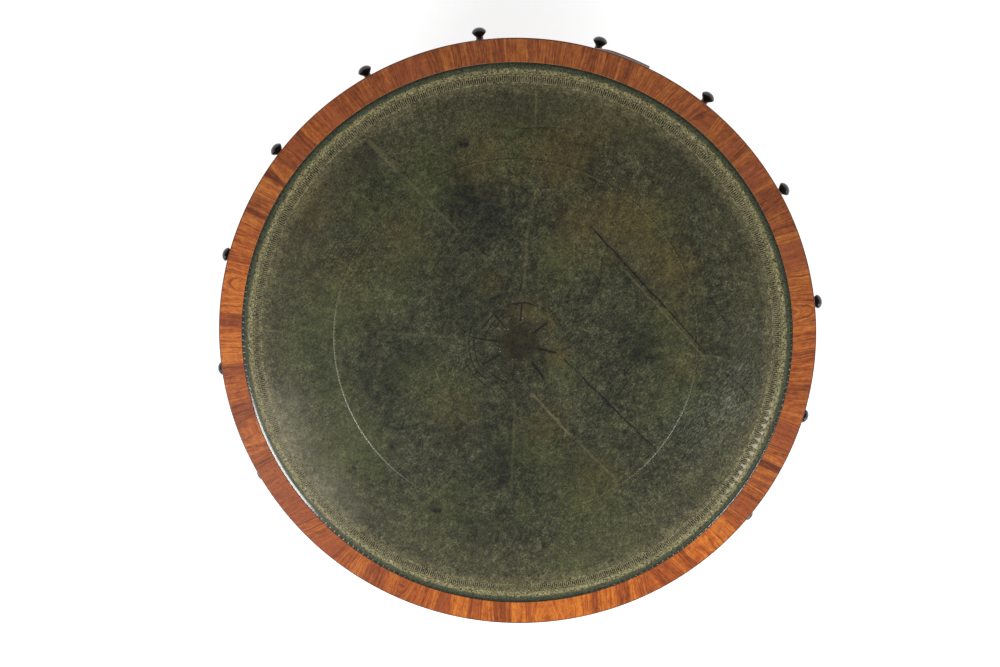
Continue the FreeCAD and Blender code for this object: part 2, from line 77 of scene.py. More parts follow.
class Tree:
    """The nodes of one material, or of the world."""

    def __init__(self, owner: bpy.types.Material | bpy.types.World) -> None:
        """Empties the owner's nodes.

        Args:
            owner: A new material, or the new world.
        """
        owner.use_nodes = True
        self.owner = owner
        self.node_tree = owner.node_tree
        self.node_tree.nodes.clear()

    def add(
        self,
        kind: str,
        inputs: dict | None = None,
        output: str = "",
        stops: tuple = (),
        **settings: object,
    ) -> Socket:
        """Adds one node with its settings and links.

        Args:
            kind: The node's type, without its ShaderNode prefix.
            inputs: Sockets by name or number. A value is a socket to link, a hex colour, or the
                socket's own number or vector.
            output: The name of the output to return. The first one in use, if none is given.
            stops: A colour ramp's stops, each a place and a hex colour.
            settings: The node's properties.

        Returns:
            One output socket of the node.
        """
        node = self.node_tree.nodes.new("ShaderNode" + kind)
        for key, value in settings.items():
            setattr(node, key, value)
        if stops:
            ramp = node.color_ramp.elements
            while len(ramp) < len(stops):
                ramp.new(1.0)
            for element, (place, colour) in zip(ramp, stops):
                element.position = place
                element.color = linear(colour)
        for key, value in (inputs or {}).items():
            if isinstance(key, int):
                socket = node.inputs[key]
            else:
                socket = next(s for s in node.inputs if s.enabled and s.name == key)
            if isinstance(value, Socket):
                self.node_tree.links.new(value, socket)
            else:
                socket.default_value = linear(value) if isinstance(value, str) else value
        ends = [s for s in node.outputs if s.enabled and output in ("", s.name)]
        return ends[0] if ends else None


class Grid:
    """A surface of quads between rows and columns of points.

    Point (i, j) is row i, column j. A closed way joins its last line of points to its first.
    """

    def __init__(self, points: np.ndarray, close_rows: bool = False) -> None:
        """Takes an array of (rows, columns, 3) points, whose columns go once round.

        Args:
            points: The points in metres.
            close_rows: Whether the last row joins the first one.
        """
        self.points = points
        rows, columns = points.shape[:2]
        row, column = np.meshgrid(
            np.arange(rows if close_rows else rows - 1), np.arange(columns), indexing="ij"
        )
        row, column = row.ravel(), column.ravel()
        # The corners of each face, counted on without joining, so that a map has a clean seam.
        self.row = np.stack([row, row, row + 1, row + 1], axis=1)
        self.column = np.stack([column, column + 1, column + 1, column], axis=1)
        self.faces = (self.row % rows) * columns + self.column % columns

    def moved(self, matrix: Matrix) -> "Grid":
        """Copies the grid to another place.

        Args:
            matrix: The matrix that takes it there.

        Returns:
            The copy.
        """
        place = np.array(matrix)
        copy = Grid.__new__(Grid)
        copy.points = self.points @ place[:3, :3].T + place[:3, 3]
        copy.row, copy.column, copy.faces = self.row, self.column, self.faces
        return copy


def piece(
    name: str,
    grids: list[Grid],
    corner_fields: dict[str, np.ndarray] | None = None,
    point_fields: dict[str, np.ndarray] | None = None,
    smooth_angle: float = 40.0,
) -> bpy.types.Object:
    """Makes one mesh object at the origin from grids, with its seams and poles closed.

    Args:
        name: The object's name.
        grids: The surfaces it is made of.
        corner_fields: Values at each face's corners, in the order of the faces: numbers for an
            attribute, or pairs for a UV map.
        point_fields: Values at each point, in the order of the points.
        smooth_angle: Edges that bend by more degrees than this stay sharp.

    Returns:
        The object, linked to the scene.
    """
    starts = np.cumsum([0] + [grid.points.shape[0] * grid.points.shape[1] for grid in grids])
    points = np.concatenate([grid.points.reshape(-1, 3) for grid in grids])
    faces = np.concatenate([grid.faces + start for grid, start in zip(grids, starts)])
    mesh = bpy.data.meshes.new(name)
    mesh.from_pydata(points.tolist(), [], faces.tolist())
    for key, values in (corner_fields or {}).items():
        if values.ndim == 3:
            mesh.uv_layers.new(name=key).uv.foreach_set("vector", values.astype(np.float32).ravel())
        else:
            attribute = mesh.attributes.new(key, "FLOAT", "CORNER")
            attribute.data.foreach_set("value", values.astype(np.float32).ravel())
    for key, values in (point_fields or {}).items():
        attribute = mesh.attributes.new(key, "FLOAT", "POINT")
        attribute.data.foreach_set("value", values.astype(np.float32).ravel())
    shell = bmesh.new()
    shell.from_mesh(mesh)
    bmesh.ops.remove_doubles(shell, verts=shell.verts, dist=0.001 * MM)
    bmesh.ops.recalc_face_normals(shell, faces=shell.faces)
    shell.to_mesh(mesh)
    shell.free()
    mesh.shade_smooth()
    mesh.set_sharp_from_angle(angle=math.radians(smooth_angle))
    made = bpy.data.objects.new(name, mesh)
    bpy.context.scene.collection.objects.link(made)
    return made


def once_round(profile: np.ndarray, columns: int) -> np.ndarray:
    """Carries a profile of (radius, height) once round the Z axis.

    Point (i, j) is at radius_i, height_i and the angle j / columns of a turn.

    Args:
        profile: An array of (rows, 2).
        columns: How many points go round.

    Returns:
        An array of (rows, columns, 3).
    """
    turn = np.arange(columns) * (2 * np.pi / columns)
    radius, height = profile[:, :1], profile[:, 1:]
    return np.stack([radius * np.cos(turn), radius * np.sin(turn), height + 0 * turn], axis=2)


def flowing(points: tuple[tuple[float, float], ...], per_span: int) -> np.ndarray:
    """A smooth line through points, as a Catmull-Rom curve.

    Between p1 and p2, with neighbours p0 and p3, it is
    (2 p1 + (p2 - p0) t + (2 p0 - 5 p1 + 4 p2 - p3) t^2 + (3 p1 - p0 - 3 p2 + p3) t^3) / 2.

    Args:
        points: The (x, y) points, in order.
        per_span: How many steps each span has.

    Returns:
        An array of points, which includes both ends.
    """
    knots = np.array(points, float)
    knots = np.concatenate([2 * knots[:1] - knots[1:2], knots, 2 * knots[-1:] - knots[-2:-1]])
    t = (np.arange(per_span) / per_span)[None, :, None]
    p0, p1, p2, p3 = (knots[k:len(knots) - 3 + k, None] for k in range(4))
    curve = 2 * p1 + (p2 - p0) * t + (2 * p0 - 5 * p1 + 4 * p2 - p3) * t ** 2
    curve = (curve + (3 * p1 - p0 - 3 * p2 + p3) * t ** 3) / 2
    return np.concatenate([curve.reshape(-1, knots.shape[1]), knots[-2:-1]])


def ease(value: np.ndarray, low: float, high: float) -> np.ndarray:
    """A smooth step from 0 at low to 1 at high: 3 t^2 - 2 t^3 of the share t between them."""
    share = np.clip((value - low) / (high - low), 0, 1)
    return share * share * (3 - 2 * share)


def dress(nodes: list[str], material: bpy.types.Material) -> None:
    """Gives CAD nodes a material in all their slots."""
    for name in nodes:
        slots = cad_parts[name].data.materials
        for index in range(len(slots)):
            slots[index] = material
        LOG.info("dressed %s in %s", name, material.name)


def hand_in(made: bpy.types.Object, body: str, nodes: list[str]) -> None:
    """Sets a new piece on its body, in place of the CAD nodes that it stands for.

    Args:
        made: The finished piece, in place.
        body: The body that it moves with.
        nodes: The CAD nodes that it replaces.
    """
    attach(made, body)
    if nodes:
        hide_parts(*nodes)
    LOG.info("made %s on %s, %d faces", made.name, body, len(made.data.polygons))


class Way(Enum):
    """Which way the grain of a piece of wood runs. A 1 marks an axis that lies along it."""

    ALONG_X = (1, 0, 0)
    UPRIGHT = (0, 0, 1)
    AROUND = (1, 1, 0)


@dataclass(frozen=True)
class Wood:
    """Sawn, turned or veneered wood under polish, wax or nothing.

    The eye sees long dark streaks, short open pores, a slow change from dark to light across the
    board and, in figured wood, a ripple across the grain that shifts as one walks past. A turned
    member may be stained black between two heights, and a strip may be bare between two radii.
    """

    name: str
    dark: str
    mid: str
    light: str
    way: Way
    turn: float = 0.0
    tilt: float = 0.0
    streak_mm: float = 3.0
    board_mm: float = 26.0
    length_mm: float = 260.0
    ripple: float = 0.0
    ripple_mm: float = 14.0
    pores: float = 0.5
    roughness: float = 0.32
    polish: float = 0.5
    ebony_bands: tuple[tuple[float, float], ...] = ()
    black: str = "0d0b0a"
    bare_radii: tuple[float, float] | None = None
    # Painted near white, paler than bare mahogany, to make up for the shade it lies in.
    bare: str = "efe2d6"

    def material(self) -> bpy.types.Material:
        """Builds the wood's nodes.

        Returns:
            The material.
        """
        tree = Tree(bpy.data.materials.new(self.name))
        object_place = tree.add("TexCoord", output="Object")
        turned = Matrix.Rotation(math.radians(self.tilt), 3, "Y") @ Matrix.Rotation(
            -math.radians(self.turn), 3, "Z"
        )
        place = tree.add("Mapping", {"Vector": object_place, "Rotation": turned.to_euler()})
        flat = tree.add("VectorMath", {0: object_place, 1: (1, 1, 0)}, operation="MULTIPLY")
        radius = tree.add("VectorMath", {0: flat}, "Value", operation="LENGTH")

        def grain(across: float, along: float, detail: float, seed: float) -> Socket:
            """Noise that is short across the grain and long along it.

            Args:
                across: The size across the grain, in millimetres.
                along: The size along it.
                detail: How many finer layers it has.
                seed: What keeps it unlike the other noises.

            Returns:
                The noise.
            """
            stretch = tuple(per(along if lies else across) for lies in self.way.value)
            vector = tree.add("VectorMath", {0: place, 1: stretch}, operation="MULTIPLY")
            across_ring = per(across) if self.way is Way.AROUND else 0.0
            depth = tree.add("Math", {0: radius, 1: across_ring, 2: seed}, operation="MULTIPLY_ADD")
            return tree.add(
                "TexNoise",
                {"Vector": vector, "W": depth, "Scale": 1.0, "Detail": detail, "Roughness": 0.62},
                noise_dimensions="4D",
            )

        board = grain(self.board_mm, 3 * self.length_mm, 2.0, 11.3)
        streak = grain(self.streak_mm, self.length_mm, 5.0, 47.1)
        # Real pores are 0.2 mm wide, which a picture can't show, so they are drawn wider.
        pore = grain(0.9, 9.0, 1.0, 83.9)
        tone = tree.add("Mix", {"Factor": 0.58, "A": board, "B": streak})
        tone = tree.add("MapRange", {"Value": tone, "From Min": 0.34, "From Max": 0.68}, clamp=True)
        colour = tree.add(
            "ValToRGB",
            {"Fac": tone},
            "Color",
            stops=((0.0, self.dark), (0.5, self.mid), (1.0, self.light)),
        )
        if self.ripple:
            wave = grain(5 * self.ripple_mm, self.ripple_mm, 1.5, 5.7)
            shade = tree.add(
                "MapRange",
                {
                    "Value": wave,
                    "From Min": 0.3,
                    "From Max": 0.7,
                    "To Min": 1 - self.ripple,
                    "To Max": 1 + self.ripple,
                },
            )
            colour = tree.add("VectorMath", {0: colour, "Scale": shade}, operation="SCALE")
        dark_pore = tree.add(
            "MapRange",
            {"Value": pore, "From Min": 0.58, "From Max": 0.72, "To Max": self.pores},
            interpolation_type="SMOOTHSTEP",
        )
        colour = tree.add(
            "Mix", {"Factor": dark_pore, "A": colour, "B": self.dark}, data_type="RGBA",
        )
        for low, high in self.ebony_bands:
            colour = self.ebonised(tree, object_place, colour, low, high)
        if self.bare_radii:
            low, high = self.bare_radii
            bare = tree.add(
                "Math", {0: radius, 1: (low + high) / 2, 2: (high - low) / 2}, operation="COMPARE"
            )
            colour = tree.add(
                "Mix", {"Factor": bare, "A": colour, "B": self.bare}, data_type="RGBA"
            )
        height = tree.add("Math", {0: streak, 1: dark_pore}, operation="SUBTRACT")
        bump = tree.add("Bump", {"Strength": 0.25, "Distance": 0.25 * MM, "Height": height})
        shine = tree.add(
            "MapRange",
            {"Value": board, "To Min": self.roughness - 0.05, "To Max": self.roughness + 0.08},
        )
        surface = tree.add(
            "BsdfPrincipled",
            {
                "Base Color": colour,
                "Roughness": shine,
                "IOR": 1.5,
                "Specular IOR Level": 0.35,
                "Coat Weight": self.polish,
                "Coat Roughness": 0.16,
                "Normal": bump,
            },
        )
        tree.add("OutputMaterial", {"Surface": surface})
        return tree.owner

    def ebonised(
        self,
        tree: Tree,
        place: Socket,
        colour: Socket,
        low: float,
        high: float,
    ) -> Socket:
        """Stains a turned member black between two heights.

        Args:
            tree: The wood's nodes.
            place: The place on the object.
            colour: The colour so far.
            low: The member's lower edge, in metres.
            high: Its upper edge.

        Returns:
            The colour with the black member on it.
        """
        height = tree.add("SeparateXYZ", {"Vector": place}, "Z")
        off = tree.add(
            "Math", {0: height, 1: (low + high) / 2, 2: (high - low) / 2}, operation="COMPARE"
        )
        return tree.add("Mix", {"Factor": off, "A": colour, "B": self.black}, data_type="RGBA")


@dataclass(frozen=True)
class Metal:
    """Cast, drawn or forged metal, dull and darker where it has tarnished."""

    name: str
    bright: str
    dull: str
    roughness: float
    spot_mm: float = 9.0
    scratch_mm: float = 0.8

    def material(self) -> bpy.types.Material:
        """Builds the metal's nodes.

        Returns:
            The material.
        """
        tree = Tree(bpy.data.materials.new(self.name))
        place = tree.add("TexCoord", output="Object")
        spots = tree.add(
            "TexNoise",
            {"Vector": place, "Scale": per(self.spot_mm), "Detail": 5.0, "Roughness": 0.7},
        )
        fine = tree.add("TexNoise", {"Vector": place, "Scale": per(self.scratch_mm), "Detail": 3.0})
        tarnish = tree.add(
            "MapRange", {"Value": spots, "From Min": 0.42, "From Max": 0.68}, clamp=True
        )
        colour = tree.add(
            "Mix", {"Factor": tarnish, "A": self.bright, "B": self.dull}, data_type="RGBA"
        )
        shine = tree.add(
            "MapRange",
            {"Value": tarnish, "To Min": self.roughness, "To Max": self.roughness + 0.22},
        )
        bump = tree.add("Bump", {"Strength": 0.15, "Distance": 0.1 * MM, "Height": fine})
        surface = tree.add(
            "BsdfPrincipled",
            {"Base Color": colour, "Metallic": 1.0, "Roughness": shine, "Normal": bump},
        )
        tree.add("OutputMaterial", {"Surface": surface})
        return tree.owner


@dataclass(frozen=True)
class EbonisedWood:
    """Turned fruitwood, stained black and French polished.

    It is nearly black with a hard gloss, and a faint brown shows where fingers have rubbed it.
    """

    name: str = "fruitwood turned and ebonised"
    black: str = "0b0b0c"
    rubbed: str = "211711"

    def material(self) -> bpy.types.Material:
        """Builds the black wood's nodes.

        Returns:
            The material.
        """
        tree = Tree(bpy.data.materials.new(self.name))
        place = tree.add("TexCoord", output="Object")
        rub = tree.add("TexNoise", {"Vector": place, "Scale": per(11), "Detail": 4.0})
        rub = tree.add("MapRange", {"Value": rub, "From Min": 0.5, "From Max": 0.75}, clamp=True)
        fine = tree.add("TexNoise", {"Vector": place, "Scale": per(1.6), "Detail": 3.0})
        colour = tree.add(
            "Mix", {"Factor": rub, "A": self.black, "B": self.rubbed}, data_type="RGBA"
        )
        shine = tree.add("MapRange", {"Value": fine, "To Min": 0.2, "To Max": 0.36})
        bump = tree.add("Bump", {"Strength": 0.2, "Distance": 0.15 * MM, "Height": fine})
        surface = tree.add(
            "BsdfPrincipled",
            {
                "Base Color": colour,
                "Roughness": shine,
                "IOR": 1.5,
                "Coat Weight": 0.4,
                "Coat Roughness": 0.1,
                "Normal": bump,
            },
        )
        tree.add("OutputMaterial", {"Surface": surface})
        return tree.owner


@dataclass(frozen=True)
class CrossbandVeneer:
    """Mahogany veneer laid in short leaves with the grain pointing at the middle of the table.

    The eye sees fine dark streaks and broad ones running outwards, a slow change from leaf to
    leaf, redder and paler leaves, and here and there the arch of a flame. A hairline of dark
    glue stands at each joint.
    """

    name: str = "mahogany crossband veneer, french polished"
    dark: str = "552611"
    brown: str = "86421a"
    mid: str = "ac5a24"
    # Painted light round the rim: the colour's cast where sheen greys it and where light warms it.
    sheen_greyed: tuple[float, float, float] = (0.93, 1.08, 1.36)
    lit_warm: tuple[float, float, float] = (1.17, 1.07, 0.8)
    light: str = "cd7b33"
    ruddy: str = "94492a"
    glue: str = "42200f"
    waver_mm: float = 9.0
    leaves_apart: float = 7.31

    def material(self) -> bpy.types.Material:
        """Builds the veneer's nodes. Its map holds the way across and along each leaf's grain.

        Returns:
            The material.
        """
        tree = Tree(bpy.data.materials.new(self.name))
        grain = tree.add("UVMap", uv_map="grain")
        across = tree.add("SeparateXYZ", {"Vector": grain}, "X")
        along = across.node.outputs["Y"]
        fields = {
            name: tree.add("Attribute", output="Fac", attribute_name=name)
            for name in ("leaf", "tone", "joint", "ruddy", "light_cast")
        }
        drift = self.fibres(tree, across, along, fields["leaf"], (22, 45, 2.0, 3.3))
        sway = tree.add("Math", {0: drift, 1: 0.5}, operation="SUBTRACT")
        across = tree.add(
            "Math", {0: sway, 1: self.waver_mm * MM, 2: across}, operation="MULTIPLY_ADD"
        )
        stripe, streak, fibre, flake, pore = (
            self.fibres(tree, across, along, fields["leaf"], shape)
            for shape in (
                (11, 330, 1.5, 0.4), (3.2, 90, 6.0, 31.7), (1.7, 60, 2.0, 12.4),
                (9, 13, 4.0, 71.9), (1.3, 8, 1.0, 57.2),
            )
        )
        depth = tree.add("Mix", {"Factor": 0.62, "A": stripe, "B": streak})
        depth = tree.add("Mix", {"Factor": 0.3, "A": depth, "B": flake})
        depth = tree.add(
            "MapRange",
            {"Value": depth, "From Min": 0.35, "From Max": 0.65, "To Min": -0.5, "To Max": 0.5},
            clamp=False,
        )
        fine = tree.add("Math", {0: fibre, 1: 0.5}, operation="SUBTRACT")
        depth = tree.add("Math", {0: fine, 1: 1.25, 2: depth}, operation="MULTIPLY_ADD")
        depth = tree.add("Math", {0: depth, 1: fields["tone"]}, operation="ADD")
        colour = tree.add(
            "ValToRGB",
            {"Fac": depth},
            "Color",
            stops=((0.0, self.dark), (0.3, self.brown), (0.6, self.mid), (1.0, self.light)),
        )
        red = tree.add("Math", {0: fields["ruddy"], 1: 0.6}, operation="MULTIPLY")
        colour = tree.add("Mix", {"Factor": red, "A": colour, "B": self.ruddy}, data_type="RGBA")
        # Painted light: a cast round the rim for how light and sheen fall.
        glow = tree.add("MapRange", {"Value": fields["light_cast"], "From Min": -1.0})
        cast = tree.add(
            "Mix", {"Factor": glow, "A": self.sheen_greyed, "B": self.lit_warm}, data_type="VECTOR"
        )
        colour = tree.add("VectorMath", {0: colour, 1: cast}, operation="MULTIPLY")
        open_pore = tree.add(
            "MapRange",
            {"Value": pore, "From Min": 0.56, "From Max": 0.72, "To Max": 0.6},
            interpolation_type="SMOOTHSTEP",
        )
        colour = tree.add(
            "Mix", {"Factor": open_pore, "A": colour, "B": self.dark}, data_type="RGBA"
        )
        hairline = tree.add(
            "MapRange",
            {
                "Value": fields["joint"],
                "From Min": 0.1 * MM,
                "From Max": 0.8 * MM,
                "To Min": 0.4,
                "To Max": 0.0,
            },
        )
        colour = tree.add(
            "Mix", {"Factor": hairline, "A": colour, "B": self.glue}, data_type="RGBA"
        )
        height = tree.add("Math", {0: streak, 1: open_pore}, operation="SUBTRACT")
        bump = tree.add("Bump", {"Strength": 0.3, "Distance": 0.25 * MM, "Height": height})
        shine = tree.add("MapRange", {"Value": drift, "To Min": 0.3, "To Max": 0.42})
        surface = tree.add(
            "BsdfPrincipled",
            {
                "Base Color": colour,
                "Roughness": shine,
                "IOR": 1.5,
                "Specular IOR Level": 0.3,
                "Coat Weight": 0.25,
                "Coat Roughness": 0.14,
                "Normal": bump,
            },
        )
        tree.add("OutputMaterial", {"Surface": surface})
        return tree.owner

    def fibres(
        self,
        tree: Tree,
        across: Socket,
        along: Socket,
        leaf: Socket,
        shape: tuple[float, float, float, float],
    ) -> Socket:
        """Noise that is short across a leaf's grain and long along it.

        Args:
            tree: The veneer's nodes.
            across: The way across the grain.
            along: The way along it.
            leaf: The leaf's number, which keeps it unlike its neighbours.
            shape: The sizes across and along in millimetres, the detail and a seed.

        Returns:
            The noise.
        """
        wide, long, detail, seed = shape
        x = tree.add("Math", {0: across, 1: per(wide)}, operation="MULTIPLY")
        y = tree.add("Math", {0: along, 1: per(long)}, operation="MULTIPLY")
        z = tree.add("Math", {0: leaf, 1: self.leaves_apart, 2: seed}, operation="MULTIPLY_ADD")
        vector = tree.add("CombineXYZ", {"X": x, "Y": y, "Z": z})
        return tree.add(
            "TexNoise", {"Vector": vector, "Scale": 1.0, "Detail": detail, "Roughness": 0.62}
        )


@dataclass(frozen=True)
class Crease:
    """A fold in the hide from one place to another, in millimetres on the table.

    Its tone is how strong its line is: pale above zero, dark below as painted shade. Its lift is
    how many millimetres it stands up or sinks. Both fade over a length at its ends, in metres.
    """

    start: tuple[float, float]
    end: tuple[float, float]
    width: float
    tone: float
    lift: float
    line_end: float = 0.03
    relief_end: float = 0.02

    @property
    def length(self) -> float:
        """How long the fold is, in metres."""
        return math.hypot(self.end[0] - self.start[0], self.end[1] - self.start[1]) * MM

    def to_fold(self) -> Matrix:
        """Finds where a place is on the fold: X along it from its middle, Y across it.

        Returns:
            The matrix that takes a place to the fold.
        """
        angle = math.atan2(self.end[1] - self.start[1], self.end[0] - self.start[0])
        middle = [(a + b) / 2 * MM for a, b in zip(self.start, self.end)]
        return Matrix.Rotation(-angle, 4, "Z") @ Matrix.Translation((-middle[0], -middle[1], 0))

    def nearness(self, x: np.ndarray, y: np.ndarray, reach: float) -> np.ndarray:
        """How near places are to the fold: exp(-(distance across / reach)^2), eased at its ends.

        Args:
            x: The places' X, in metres.
            y: Their Y.
            reach: The distance across at which it has fallen to 1 / e, in metres.

        Returns:
            A share from 0 to 1 at each place.
        """
        matrix = self.to_fold()
        along = matrix[0][0] * x + matrix[0][1] * y + matrix[0][3]
        across = matrix[1][0] * x + matrix[1][1] * y + matrix[1][3]
        ends = 1 - ease(np.abs(along), self.length / 2 - self.relief_end, self.length / 2)
        return np.exp(-((across / reach) ** 2)) * ends


# The folds that show in the hide: two pale ones and two dark ones run from upper left to lower
# right, and fainter ones lie on the table's two middle lines.
CREASES = (
    Crease((-334, 395), (-250, 320), 8.0, 0.24, 0.4),
    Crease((-262, 331), (-120, 207), 4.6, 0.2, 0.3),
    Crease((-120, 207), (-20, 124), 5.0, 0.1, 0.2),
    Crease((34, -96), (140, -198), 4.4, 0.36, 0.4),
    Crease((135, -190), (238, -281), 4.0, 0.2, 0.3),
    Crease((238, -281), (364, -399), 3.6, 0.16, 0.2),
    Crease((90, -16), (312, -207), 3.0, -1.2, -0.7),
    Crease((122, 260), (393, 8), 3.2, -1.1, -0.7),
    Crease((196, 178), (398, -10), 3.4, 0.2, 0.3),
    Crease((393, 8), (525, -105), 2.8, -0.6, -0.3),
    Crease((2, 530), (7, 440), 3.4, 0.22, 0.15),
    Crease((7, 260), (8, 110), 4.2, 0.16, 0.2),
    Crease((8, -105), (16, -330), 4.0, 0.13, 0.2),
    Crease((-55, 431), (80, 442), 2.4, -0.6, -0.2),
    Crease((318, 3), (440, 4), 4.0, 0.16, 0.2),
    Crease((-300, -4), (-95, 2), 4.6, 0.12, 0.15),
    Crease((-540, -15), (-470, -20), 3.6, 0.22, 0.15),
    Crease((235, 25), (262, -12), 3.0, -0.55, -0.2),
    Crease((225, -45), (262, -12), 3.0, -0.5, -0.2),
    Crease((300, 110), (338, 62), 3.0, -0.5, -0.2),
    Crease((355, 48), (385, 48), 2.6, -0.7, -0.2),
)

# The gathers round the middle: the angle of each short pocket, where it starts and ends, its
# half-width and its depth, and then each arc's radius, its two angles, half-width and depth.
STAR_PLACE = (7.6, -2.8)
POCKETS = (
    (90, 34, 88, 2.2, 1.0), (42, 38, 82, 3.0, 0.9), (-9, 40, 86, 3.0, 1.0),
    (-50, 46, 96, 4.2, 1.0), (-95, 40, 86, 2.2, 0.9), (215, 42, 92, 3.2, 0.9),
    (177, 38, 102, 2.2, 0.9), (133, 42, 86, 2.8, 0.9),
)
ARCS = (
    (84, 70, 110, 1.9, 1.0), (101, 160, 238, 1.7, 0.9), (81, 116, 166, 1.8, 0.9),
    (70, 118, 172, 1.4, 0.9), (61, 98, 172, 1.3, 0.8), (90, 176, 224, 1.4, 0.9),
    (85, 226, 264, 1.8, 0.9), (72, 186, 208, 1.3, 0.7), (73, 282, 314, 1.3, 0.7),
    (58, 238, 302, 1.2, 0.6), (95, 14, 58, 1.2, 0.5), (108, 100, 150, 1.3, 0.5),
    (112, 196, 250, 1.3, 0.6), (66, 8, 40, 1.2, 0.6), (122, 300, 350, 1.3, 0.4),
)

# Where the hide has worn to ochre, faded to olive or stayed dark, and where painted sheen lies in
# silvery streaks and in pale patches: X, Y and radius in millimetres, and weight.
PATCHES = {
    "ochre": (
        (211, 269, 62, 0.9), (300, 183, 50, 0.75), (312, 110, 40, 0.3), (20, 60, 42, 0.4),
        (-96, 374, 55, 0.55), (60, 388, 58, 0.95), (112, 245, 60, 0.55), (-250, 200, 50, 0.45),
        (-355, 115, 50, 0.4), (-442, 260, 60, 0.6), (150, 470, 70, 0.45), (77, -163, 45, 0.4),
        (192, -278, 50, 0.4), (88, -22, 24, 0.8), (62, 44, 17, 0.6), (24, 62, 16, 0.5),
        (-120, -150, 45, 0.35), (-60, 120, 30, 0.3), (-470, 130, 60, 0.3), (350, -20, 35, 0.4),
    ),
    "olive": (
        (84, 182, 55, 0.65), (257, 259, 60, 0.6), (315, 48, 55, 0.5), (104, -48, 45, 0.4),
        (-319, 240, 60, 0.5), (-378, 36, 66, 0.9), (-368, -135, 50, 0.6), (160, -458, 45, 0.8),
        (-200, 340, 55, 0.6), (-40, 404, 60, 0.8), (-127, -374, 70, 0.5), (180, -317, 70, 0.7),
        (330, -100, 60, 0.4), (-200, -80, 60, 0.35), (-264, 85, 55, 0.6), (-217, 181, 45, 0.5),
        (-121, -121, 60, 0.4), (56, -225, 60, 0.5), (-440, -60, 60, 0.5), (-318, -256, 78, 0.9),
        (450, -125, 60, 0.2), (270, -415, 45, 0.5), (50, -364, 34, 0.4), (378, -72, 40, 0.4),
        (-215, 290, 50, 0.5),
    ),
    "dark": (
        (-80, 272, 48, 0.45), (-132, 282, 44, 0.5), (-90, 80, 60, 0.55), (64, 430, 60, 0.6),
        (-20, 470, 60, 0.4), (-240, -70, 50, 0.45), (0, -250, 55, 0.4), (430, 0, 60, 0.25),
        (-40, 215, 45, 0.1), (180, 432, 50, 0.5), (315, 355, 60, 0.5), (-7, -410, 55, 0.25),
        (255, 10, 35, 0.4), (-445, 230, 60, 0.4), (-330, 330, 60, 0.6), (140, 125, 45, 0.1),
        (-60, 160, 45, 0.25), (330, 60, 24, 0.2), (-175, 415, 45, 0.5), (-50, 432, 40, 0.45),
        (458, 245, 36, 0.3), (458, 34, 34, 0.45), (148, -252, 42, 0.45), (122, 0, 24, 0.5),
        (402, 272, 38, 0.4), (-110, -222, 36, 0.4), (252, 160, 26, 0.4), (319, -32, 26, 0.4),
        (-52, -428, 32, 0.4), (188, -418, 32, 0.4),
    ),
    "sheen_streaks": (
        (470, -34, 46, 0.2), (462, -96, 48, 0.26), (400, -108, 50, 0.17), (485, 68, 34, 0.15),
        (345, -150, 50, 0.08), (420, -190, 46, 0.14),
    ),
    "sheen_patch": (
        (-480, -182, 52, 0.24), (-448, -262, 46, 0.22), (-380, -342, 46, 0.23),
        (-330, -400, 40, 0.12), (-370, -225, 60, 0.04),
    ),
}

# The groups of small dark stains: X, Y and radius in millimetres.
STAIN_SPOTS = (
    (-140, -368, 15), (21, -529, 10), (-134, 395, 11), (-494, -108, 9), (-480, -131, 12),
    (-470, -148, 10), (-300, 250, 7), (-236, -240, 8), (-318, -300, 9), (95, -430, 6),
)

# Round the gathered middle, in millimetres from it: the brown stain's radii and weights, and the
# radii between which painted glints, pale specks, come in and between which they go out.
BROWNED = ((34, 0.86), (84, 0.46))
GLINT_RING = (22, 36, 48, 76)

# What shows over a part of the way round: where the rolled edge is polished, where the circle has
# a painted highlight and where the stroked band has painted glints. Each has its middle angle from
# +X and half-width in degrees, its weight, and the power with which it falls off.
SECTORS = {
    "polished": ((219, 26, 1.0, 4),),
    "circle_highlight": ((203, 33, 1.0, 6), (334, 17, 0.6, 6)),
    "glint_sector": ((340, 13, 1.0, 4),),
}


